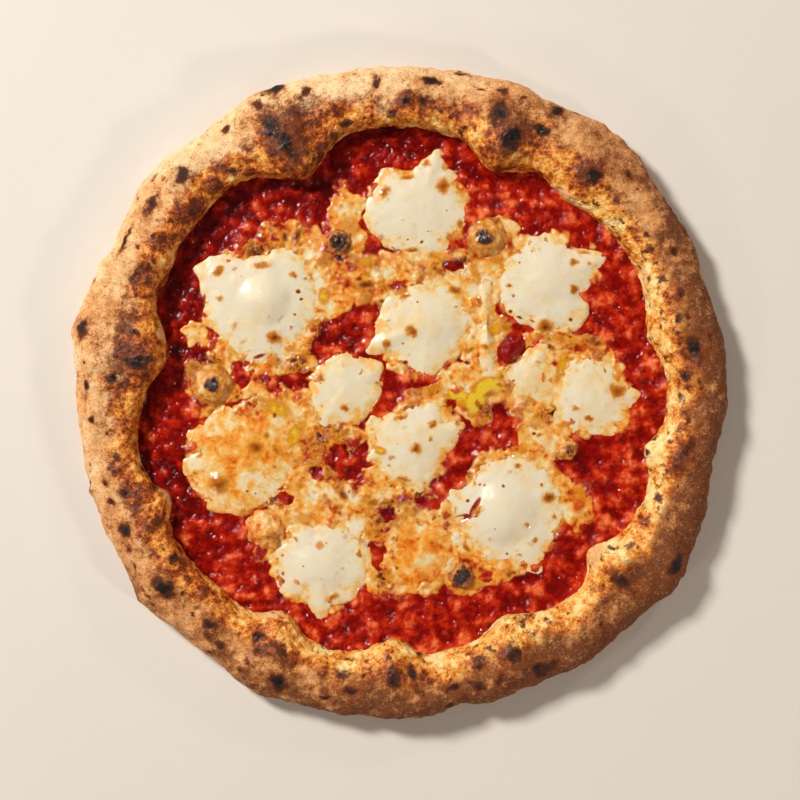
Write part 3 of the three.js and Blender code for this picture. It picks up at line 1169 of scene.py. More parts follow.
@dataclass
class Spread:
    """What lies on the base: how high it is, and what it is made of, at any place."""

    rim: Rim
    level: float = 6.4
    lump: float = 1.0
    # Where milk and oil have run over the sauce
    film: list[Dab] = field(default_factory=lambda: dabs(
        (-44, 66, 22, 16, -20), (-28, 62, 18, 22), (-26, 88, 10, 16), (-36, 46, 16),
        (-58, 78, 12, 8, 10), (-72, 70, 10, 5), (-14, 55, 15), (4, 62, 22, 10), (26, 62, 16, 12),
        (40, 52, 12, 18), (46, 72, 13, 14), (52, 80, 8), (42, 26, 12, 26), (28, 6, 12, 10),
        (44, 4, 12, 10), (34, -6, 12, 9), (14, 1, 14, 6), (66, 22, 12, 9), (76, 20, 9, 12),
        (62, -8, 18, 9), (68, -22, 13, 11, 150), (76, -14, 10), (92, 22, 12, 7, 140),
        (-58, 14, 20, 9, 10), (-84, 20, 13, 9), (-99, 27, 6), (-72, 2, 12, 7, 20),
        (-60, -8, 16, 11), (-46, -12, 15, 13), (-30, -20, 16, 9), (-44, -30, 15, 17),
        (-40, -50, 20, 16), (-20, -55, 20, 16), (-14, -42, 10), (4, -50, 16, 9), (-4, -66, 12, 14),
        (-58, -58, 10), (-66, -76, 9, 7, 120), (-92, 4, 15), (-12, -80, 10, 16),
        (10, -76, 28, 24, 60), (34, -72, 11, 18), (30, -90, 13, 10), (48, -84, 15, 9, 10),
        (36, -84, 12), (82, -52, 9, 18), (88, -52, 7, 12), (56, -36, 28, 13, -10), (24, -54, 9, 12),
        (-64, 44, 34), (-76, -31, 30, 28), (-40, -80, 27), (50, -57, 31), (82, 0, 34, 22),
        (72, 54, 27), (8, 90, 26), (12, 33, 26), (6, -24, 25), (-27, 2, 20), (-3, 12, 4)))
    # Where the sauce shows through it
    gaps: list[Dab] = field(default_factory=lambda: dabs(
        (-21, 32, 9, 7, 120), (-16, 20, 9, 6, 120), (-5, 6, 9, 7), (-8, -6, 7, 8), (-28, 30, 6, 5),
        (46, -13, 9, 8), (38, -22, 11, 9, 60), (28, -32, 11, 9, 60), (22, -44, 11, 8, 60),
        (12, -52, 9, 4, 10), (-52, 5, 8, 7), (-40, -37, 5, 4), (-22, -40, 5, 7, 60),
        (-29, -27, 5, 4), (-8, -60, 5, 7), (-10, -77, 5, 7), (27, 64, 11, 3, 18),
        (62, 22, 8, 3, 30), (54, 20, 9, 7, 60), (88, -38, 9, 11), (-78, 8, 5), (-73, 16, 3),
        (-66, 62, 8, 5), (-96, 38, 8), (3, 112, 8, 6), (92, 44, 8, 14), (-55, -49, 4, 3),
        (-52, 32, 6, 4), (-68, 20, 4, 2), (40, -88, 4, 3), (-95, 12, 3), (-70, -9, 4, 2)))
    # Cream and orange parts of the film, and pools of oil
    cream: list[Dab] = field(default_factory=lambda: dabs(
        (-38, 40, 9, 8), (-40, 54, 9, 8), (-25, 85, 9, 12), (-46, 69, 6, 5), (53, 78, 6),
        (38, 50, 9, 11), (29, 58, 7, 5), (44, 22, 7, 12), (30, 13, 6), (43, -3, 4, 3),
        (-69, -2, 6, 4), (-49, -9, 7, 6), (-44, -48, 12, 8), (-28, -50, 10, 7), (-22, -62, 9, 6),
        (-10, -51, 5), (3, -61, 6, 5), (18, -63, 6), (10, -81, 9, 7), (80, -58, 7, 10),
        (-58, 17, 8, 5), (-76, 13, 7, 4), (-101, 27, 4), (-8, 58, 8, 6), (56, -12, 8, 4),
        (66, -18, 9, 5, 155), (16, -95, 5, 3), (-30, -17, 7, 4), (26, -72, 5)))
    orange: list[Dab] = field(default_factory=lambda: dabs(
        (-26, 67, 10), (-57, 77, 9, 5), (-68, 68, 8, 4), (-45, -26, 10), (-37, -57, 7, 5),
        (-56, -64, 8), (-68, -76, 8, 5, 120), (5, -50, 12, 5), (2, -73, 9, 8), (3, -90, 10, 5),
        (31, -68, 6, 9), (30, -80, 7), (92, 24, 9, 6, 140), (75, -9, 8, 5), (60, -9, 10, 6),
        (66, -27, 8, 5), (-88, 26, 8, 6), (-12, 46, 8, 10), (-92, 4, 13), (80, -30, 8), (44, 66, 6),
        (24, -54, 6), (-30, 78, 6), (-66, -58, 6), (-60, -6, 8), (88, 14, 3), (34, -48, 5, 3, 60)))
    oil: list[Dab] = field(default_factory=lambda: dabs(
        (42, 3, 8, 4.5, 15, 1.25), (36, -4, 7, 5, 60, 1.25), (28, -2, 8, 3.5, 165, 1),
        (14, 2, 8, 3, 10, 0.7), (46, 31, 4, 3, 20, 0.9), (-37, 47, 3, 4.5, 0, 0.9),
        (-15, 64, 6, 4, 1, 0.75), (-60, -7, 8, 4, 160, 0.85), (50, 10, 3, 2.5, 0, 0.7),
        (80, 26, 9, 2.4, 165, 0.8), (77, 13, 2, 8, 165, 0.85), (86, -52, 3, 8, 0, 0.75),
        (36, -90, 7, 4, 30, 0.8), (-24, 80, 5, 6, 0, 0.6), (-51, -20, 8, 3.4, 60, 0.85),
        (36, 57, 2.4, 6, 20, 0.75), (-40, -30, 6, 3, 60, 0.6), (-46, -60, 6, 3, 0, 0.65),
        (4, -58, 6, 3, 30, 0.65), (66, -13, 6, 3, 30, 0.6), (30, 84, 3, 5, 0, 0.7),
        (-70, -62, 4, 3, 0, 0.7)))
    # Where its bubbles have burst and burnt
    burnt: list[Dab] = field(default_factory=lambda: dabs(
        (26, 63, 9, 3.4, 20), (-71, 22, 7, 4), (-50, 14, 6, 4), (-36, -20, 9, 4, 20),
        (-25, -28, 7, 5), (-42, -37, 3.4, 3), (-62, -51, 4, 3), (-29, -36, 6, 5), (-6, -57, 7, 5),
        (-9, -90, 3, 6), (86, -30, 6, 5), (42, -8, 6, 4), (-67, 69, 7, 4), (-24, 24, 3, 5),
        (57, -88, 6, 3), (-36, 30, 6, 5), (-30, 66, 5, 3), (8, -50, 6, 3), (72, -10, 6, 3),
        (-92, 16, 5, 3)))
    seed: int = 5

    def __post_init__(self) -> None:
        """Scatters the pulp of the sauce, and the specks and bubbles of the film."""
        dice = np.random.default_rng(self.seed)
        self.grain, self.wave = Grain(7), Grain(11)
        self.pulp = Strewn(1500, 128, (1.8, 4.4), 2.2, (0.2, 0.42), True).over(dice)
        self.bits = Strewn(3500, 128, (0.8, 1.7), 2.6, (0.2, 0.5), True).over(dice)
        self.specks = Strewn(1000, 108, (0.45, 1.1), 2.4, (0.35, 1.0), bunched=1.7).over(dice)
        self.shreds = Strewn(750, 108, (0.5, 1.0), 2.6, (0.4, 1.0), bunched=2.4).over(dice)
        self.foam = Strewn(1300, 108, (0.7, 2.2), 0, (0.2, 0.4), True).over(dice)

    def relief(self, x: Array, y: Array) -> tuple[Array, Array]:
        """Finds the surface of the sauce.

        Args:
            x: first coordinate of each place.
            y: second coordinate of each place.

        Returns:
            The height of the sauce, and how high its lumps stand, 0 to 1, which sets its colour:
            partly pulp against juice, partly painted shade in the hollows.
        """
        place = plane(x, y)
        bent = Ground.shaken(x, y, place, self.grain, 1.1, 4, 2, apart=(0, 70))
        lumps = 0.75 * bent.domes(self.pulp, 1.2) + 0.45 * bent.domes(self.bits, 1.1)
        lumps += 1.1 * np.clip(self.wave.layered(place, 6.0, 3, 0.62) + 0.15, -0.7, 1.4)
        broad = self.wave.layered(place, 22, 2)
        out = np.hypot(x, y)
        inner = self.rim.inside(np.arctan2(y, x))
        climb = 0.5 * ease(-4, 1, out - inner)
        height = self.level + self.lump * 0.8 * lumps + 0.6 * broad + climb
        return height, np.clip(lumps / 2.0, 0, 1)

    def filmed(self, x: Array, y: Array) -> Array:
        """Finds where film covers the sauce.

        Args:
            x: first coordinate of each place.
            y: second coordinate of each place.

        Returns:
            How far each place is covered, 0 to 1.
        """
        place = plane(x, y)
        ground = Ground.shaken(x, y, place, self.wave, 4.5, 13, 3, 0.6, (20, 55))
        cover = np.minimum(ground.domes(self.film, 0.9) * 1.6, 1)
        bare = np.minimum(ground.domes(self.gaps, 0.9) * 1.4, 1)
        mask = cover * (1 - 0.8 * bare)
        mask += 0.34 * self.grain.layered(place, 9, 3, 0.5)
        return np.clip(mask, 0, 1)


class Sheet:
    """Makes a closed layer whose top follows a height and whose underside is flat."""

    def __init__(self, name: str, low: tuple[float, float], high: tuple[float, float],
                 step: float) -> None:
        """Lays out a square mesh.

        Args:
            name: the mesh's name.
            low: lowest x and y.
            high: highest x and y.
            step: width of one square.
        """
        self.name = name
        self.bm = bmesh.new()
        counts = [max(2, round((h - l) / step)) for l, h in zip(low, high)]
        bmesh.ops.create_grid(self.bm, x_segments=counts[0], y_segments=counts[1], size=0.5)
        for vert in self.bm.verts:
            vert.co.x = low[0] + (vert.co.x + 0.5) * (high[0] - low[0])
            vert.co.y = low[1] + (vert.co.y + 0.5) * (high[1] - low[1])
            vert.co.z = 1.0

    def flat_places(self) -> tuple[Array, Array]:
        """Returns the x and the y of every vertex."""
        places = np.array([(v.co.x, v.co.y) for v in self.bm.verts])
        return places[:, 0], places[:, 1]

    def trim(self, keep: Array) -> None:
        """Cuts away the vertices that aren't kept, and what hangs by a corner.

        Args:
            keep: whether each vertex stays.
        """
        verts = list(self.bm.verts)
        gone = [v for v, stays in zip(verts, keep) if not stays]
        bmesh.ops.delete(self.bm, geom=gone, context="VERTS")
        for _ in range(8):
            loose = [v for v in self.bm.verts
                     if not v.link_faces or sum(e.is_boundary for e in v.link_edges) > 2]
            if not loose:
                break
            bmesh.ops.delete(self.bm, geom=loose, context="VERTS")

    def close(self) -> bpy.types.Mesh:
        """Drops a wall from the edge and fills the underside.

        Returns:
            The mesh: z is 1 on top and 0 underneath.
        """
        edge = [e for e in self.bm.edges if e.is_boundary]
        made = bmesh.ops.extrude_edge_only(self.bm, edges=edge)["geom"]
        for vert in (g for g in made if isinstance(g, bmesh.types.BMVert)):
            vert.co.z = 0.0
        rim = [e for e in self.bm.edges if e.is_boundary]
        bmesh.ops.triangle_fill(self.bm, edges=rim, use_beauty=True, normal=(0, 0, -1))
        bmesh.ops.recalc_face_normals(self.bm, faces=self.bm.faces)
        open_edges = sum(not e.is_manifold for e in self.bm.edges)
        if open_edges:
            log.warning("%s has %d open edges", self.name, open_edges)
        mesh = bpy.data.meshes.new(self.name)
        self.bm.to_mesh(mesh)
        self.bm.free()
        return mesh


class Layer:
    """The points of a closed sheet."""

    def __init__(self, mesh: bpy.types.Mesh) -> None:
        """Reads the points.

        Args:
            mesh: the closed sheet.
        """
        self.mesh, self.points = mesh, read_points(mesh)
        self.top = self.points[:, 2] > 0.5
        self.x, self.y = self.points[:, 0], self.points[:, 1]
        self.place = plane(self.x, self.y)

    def lift(self, height: Array, floor: float) -> None:
        """Moves the top to a height at each point, and the underside to a floor."""
        self.points[:, 2] = np.where(self.top, height, floor)
        write_points(self.mesh, self.points)


@dataclass
class Sauce:
    """The tomato sauce on the base."""

    spread: Spread
    floor: float = 3.8
    step: float = 0.78
    tuck: float = 1.6  # how far it runs in under the rim's foot

    def build(self, finish: bpy.types.Material) -> bpy.types.Object:
        """Makes the sauce.

        Args:
            finish: its material.

        Returns:
            The piece.
        """
        sheet = Sheet("sauce", (-131, -131), (131, 131), self.step)
        x, y = sheet.flat_places()
        inner = self.spread.rim.inside(np.arctan2(y, x))
        sheet.trim(np.hypot(x, y) < inner + self.tuck)
        layer = Layer(sheet.close())
        mesh, x, y = layer.mesh, layer.x, layer.y
        height, pulp = self.spread.relief(x, y)
        layer.lift(height, self.floor)
        out, turn = np.hypot(x, y), np.arctan2(y, x)
        # Painted shadow: the sauce is darkened along the rim's upper left, where the rim's shade falls
        # on it
        painted_rim_shadow = ease(-34, -4, out - self.spread.rim.inside(turn)) * ease(
            0.0, 0.8, np.cos(turn - math.radians(143)))
        charred = Ground(x, y).spots(self.spread.burnt, 2.4)
        # The pulp field also carries painted shade: darker in the hollows between lumps and along the
        # rim's upper left
        set_field(mesh, "pulp", 0.25 + 0.66 * pulp - 0.28 * painted_rim_shadow - 0.3 * charred)
        set_field(mesh, "stain", 0.75 * self.spread.filmed(x, y))
        return hand_in(mesh, "sauce_layer", finish, ["tomato_sauce"])


@dataclass
class Film:
    """The skin of milk and oil that ran from the cheese over the sauce."""

    spread: Spread
    step: float = 0.62
    thick: float = 0.5

    def _height(self, layer: Layer, ground: Ground, mask: Array, sauce: Array,
                oil: Array) -> Array:
        """Finds the top of the film.

        Args:
            layer: the film's points.
            ground: the same points, laid out flat.
            mask: how far film covers the sauce at each point.
            sauce: the height of the sauce at each point.
            oil: how far each point lies in a pool of oil.

        Returns:
            The height at each point.
        """
        grain, place = self.spread.grain, layer.place
        swamped = ease(0.3, 0.8, mask)
        calm = self.spread.level + self.thick + 0.4 * grain.layered(place, 8, 4, 0.6)
        calm += 0.35 * ground.domes(self.spread.foam, 0.8) * (1 - oil)
        cover = 0.42 * ease(0.28, 0.7, mask) - 1.1 * ease(0.34, 0.1, mask)
        skin = sauce + (0.35 + 0.45 * swamped) * (calm - sauce) * swamped + cover
        draped = ease(0.38, 0.7, mask + 0.3 * grain.layered(place + 110, 7, 2))
        skin = np.maximum(skin, sauce + 0.12 - 1.4 * (1 - draped))
        return skin * (1 - 0.8 * oil) + (self.spread.level + 1.1) * 0.8 * oil

    def _cream(self, layer: Layer, ground: Ground, mask: Array,
               cheeses: list["Cheese"]) -> Array:
        """Finds how milky the film is.

        Args:
            layer: the film's points.
            ground: the same points, laid out flat.
            mask: how far film covers the sauce at each point.
            cheeses: the pieces of cheese, around which it is milkiest.

        Returns:
            How milky it is at each point, from oil at 0 to curd at 1.
        """
        place = layer.place
        cream = 0.13 + 0.24 * ease(0.3, 0.78, mask)
        cream += 0.42 * ground.spots(self.spread.cream, 2.4)
        cream -= 0.15 * ground.spots(self.spread.orange, 2.4)
        cream += 0.3 * self.spread.wave.layered(place, 9, 4, 0.6)
        frothy = 3 * self.spread.grain.layered(place + 30, 6, 3, 0.6)
        for cheese in cheeses:
            near = ease(-6.5, 0.5, cheese.depth(layer.x, layer.y) + frothy)
            cream += near * np.clip(0.68 - cream, 0, 1) * 0.9
        return cream

    def build(self, finish: bpy.types.Material, cheeses: list["Cheese"]) -> bpy.types.Object:
        """Makes the film.

        Args:
            finish: its material.
            cheeses: the pieces of cheese, under which it need not reach.

        Returns:
            The piece.
        """
        sheet = Sheet("film", (-112, -112), (112, 116), self.step)
        x, y = sheet.flat_places()
        mask = self.spread.filmed(x, y)
        hidden = np.zeros(len(x), dtype=bool)
        for cheese in cheeses:
            hidden |= cheese.depth(x, y) > 5.0
        sheet.trim((mask > 0.14) & ~hidden)
        layer = Layer(sheet.close())
        mesh, x, y, place = layer.mesh, layer.x, layer.y, layer.place
        ground, grain, wave = Ground(x, y), self.spread.grain, self.spread.wave
        mask = self.spread.filmed(x, y)
        sauce, _ = self.spread.relief(x, y)
        oil = ground.spots(self.spread.oil, 5)
        height = self._height(layer, ground, mask, sauce, oil)
        layer.lift(height, self.spread.level - 1.6)

        thin = ease(0.45, 0.0, height - sauce) * (1 - oil)
        cream = self._cream(layer, ground, mask, cheeses) - 0.22 * thin
        set_field(mesh, "cream", np.clip(cream, 0.02, 1))
        bent = Ground.shaken(x, y, place, grain, 0.6, 2.2, 1)
        crowd = ease(-0.35, 0.45, wave.layered(place + 44, 26, 2))
        brown = 0.62 * bent.spots(self.spread.specks, 2.6) * (0.4 + 0.6 * crowd)
        burst = ease(-0.3, 0.6, grain.layered(place + 80, 3.4, 3, 0.6))
        burnt = bent.spots(self.spread.burnt, 2.0)
        brown = np.maximum(brown, 0.85 * burst * burnt)
        set_field(mesh, "brown", brown)
        set_field(mesh, "oil", oil)
        red = 0.62 * bent.spots(self.spread.shreds, 3.0) * (0.25 + 0.75 * crowd)
        set_field(mesh, "red", red + 0.4 * thin + 0.5 * ease(0.4, 0.22, mask) + 0.55 * burnt)
        return hand_in(mesh, "melted_film", finish, [])


# ------------------------------------------------------------------------------- the cheese


class Kind(Enum):
    """What a mark on the cheese is."""

    GOLD = "gold"
    DARK = "dark"
    OIL = "oil"
    RED = "red"
    PIT = "pit"
    AMBER = "amber"
    MILK = "milk"
    DOME = "dome"


@dataclass
class Cheese:
    """A melted piece of mozzarella: an oval puddle with lobes and bays."""

    node: str
    x: float
    y: float
    long: float
    wide: float
    turn: float
    lobes: tuple[tuple[float, float, float], ...]
    thick: float = 1.7
    cream: float = 0.95
    rind: float = 0.3
    step: float = 0.5
    marks: dict[Kind, list[Dab]] = field(default_factory=dict)

    def _flecks(self) -> list[Dab]:
        """Scatters tiny golden flecks over the puddle.

        Returns:
            The flecks.
        """
        dice = np.random.default_rng(int(self.long * 100 + abs(self.x)))
        laid = []
        for _ in range(int(self.long * self.wide / 22)):
            turn, out = dice.uniform(0, 2 * math.pi), dice.uniform(0.15, 1) ** 0.6
            size = dice.uniform(0.4, 1.2)
            laid.append(Dab(self.x + self.long * out * math.cos(turn),
                            self.y + self.long * out * math.sin(turn),
                            size * dice.uniform(1, 2.2), size, dice.uniform(0, 180),
                            dice.uniform(0.3, 0.9)))
        return laid

    def _of(self, kind: Kind) -> list[Dab]:
        """Returns the marks of one kind."""
        return self.marks.get(kind, [])

    def _shrunk(self, kind: Kind, long: float, wide: float) -> list[Dab]:
        """Returns one kind of mark, each at a share of its size."""
        return [replace(m, long=long * m.long, wide=wide * m.wide) for m in self._of(kind)]

    def depth(self, x: Array, y: Array) -> Array:
        """Finds how deep inside the puddle's edge each place lies.

        Args:
            x: first coordinate of each place.
            y: second coordinate of each place.

        Returns:
            The depth, less than 0 outside.
        """
        depth = np.full(len(x), -50.0)
        near = np.hypot(x - self.x, y - self.y) < max(self.long, self.wide) + 20
        x, y = x[near], y[near]
        right, up = x - self.x, y - self.y
        turn, out = np.arctan2(up, right), np.hypot(right, up)
        along = turn - math.radians(self.turn)
        oval = self.long * self.wide / np.hypot(self.wide * np.cos(along),
                                                self.long * np.sin(along))
        reach = oval + 2.3 * Grain(13).layered(plane(x, y, 40), 12, 4, 0.48)
        for at, wide, more in self.lobes:
            away = (turn - math.radians(at) + math.pi) % (2 * math.pi) - math.pi
            # A lobe or bay fades towards the middle, where it would leave a crease
            reach += more * np.exp(-(away / math.radians(wide)) ** 2) * ease(0.2, 0.95, out / oval)
        depth[near] = (reach - out) * 0.9
        return depth

    def build(self, finish: bpy.types.Material, spread: Spread) -> bpy.types.Object:
        """Makes the piece of cheese.

        Args:
            finish: its material.
            spread: what it lies on.

        Returns:
            The piece.
        """
        span = max(self.long, self.wide) + 12
        sheet = Sheet(self.node, (self.x - span, self.y - span), (self.x + span, self.y + span),
                      self.step)
        x, y = sheet.flat_places()
        sheet.trim(self.depth(x, y) > -2.4)
        layer = Layer(sheet.close())
        mesh, x, y, place = layer.mesh, layer.x, layer.y, layer.place
        ground, inside = Ground(x, y), self.depth(x, y)
        grain = Grain(19)
        within = np.clip(inside, 0, None)
        lip = self.thick * (1 - np.exp(-within / 6.0))
        crown = 0.9 * ease(2, 18, inside) + 0.3 * grain.layered(place, 12, 3, 0.45)
        bent = Ground.shaken(x, y, place, grain, 1.1, 3.4, 3, 0.6)
        golds = self._shrunk(Kind.GOLD, 0.86, 0.86)
        gold = bent.spots(golds, 2.5)
        gold += 0.35 * bent.spots([Dab(m.x + 0.4, m.y - 0.3, 0.45 * m.long, 0.4 * m.wide, m.turn,
                                       m.level) for m in golds if m.long > 1.5], 3)
        height = spread.level + 0.6 + lip + crown + 1.0 * np.minimum(inside, 0)
        height += ground.domes(self._of(Kind.DOME), 1.6)
        height += 0.3 * gold - 1.3 * ground.spots(self._of(Kind.PIT), 4)
        layer.lift(height, spread.level - 1.5)

        edge = ease(5.6, -1.5, inside + 6.0 * grain.layered(place, 6, 4, 0.7))
        cream = self.cream - self.rind * edge * self.cream - 0.1 * grain.layered(place, 13, 3)
        cream -= 0.26 * ground.spots(self._of(Kind.AMBER), 2.2)
        cream += 0.2 * ground.spots(self._of(Kind.MILK), 2.6)
        frayed = Ground.shaken(x, y, place, grain, 0.4, 1.7, 1, apart=(0, 4))
        dark = frayed.spots(self._shrunk(Kind.DARK, 0.85, 0.8), 3.2)
        flecks = bent.spots(self._flecks(), 2.6)
        set_field(mesh, "cream", cream)
        set_field(mesh, "brown", np.maximum(np.maximum(0.36 * gold, 0.24 * flecks), 0.7 * dark))
        set_field(mesh, "oil", 0.9 * ground.spots(self._of(Kind.OIL), 4))
        set_field(mesh, "red", ground.spots(self._of(Kind.RED), 5))
        return hand_in(mesh, self.node, finish, [self.node])


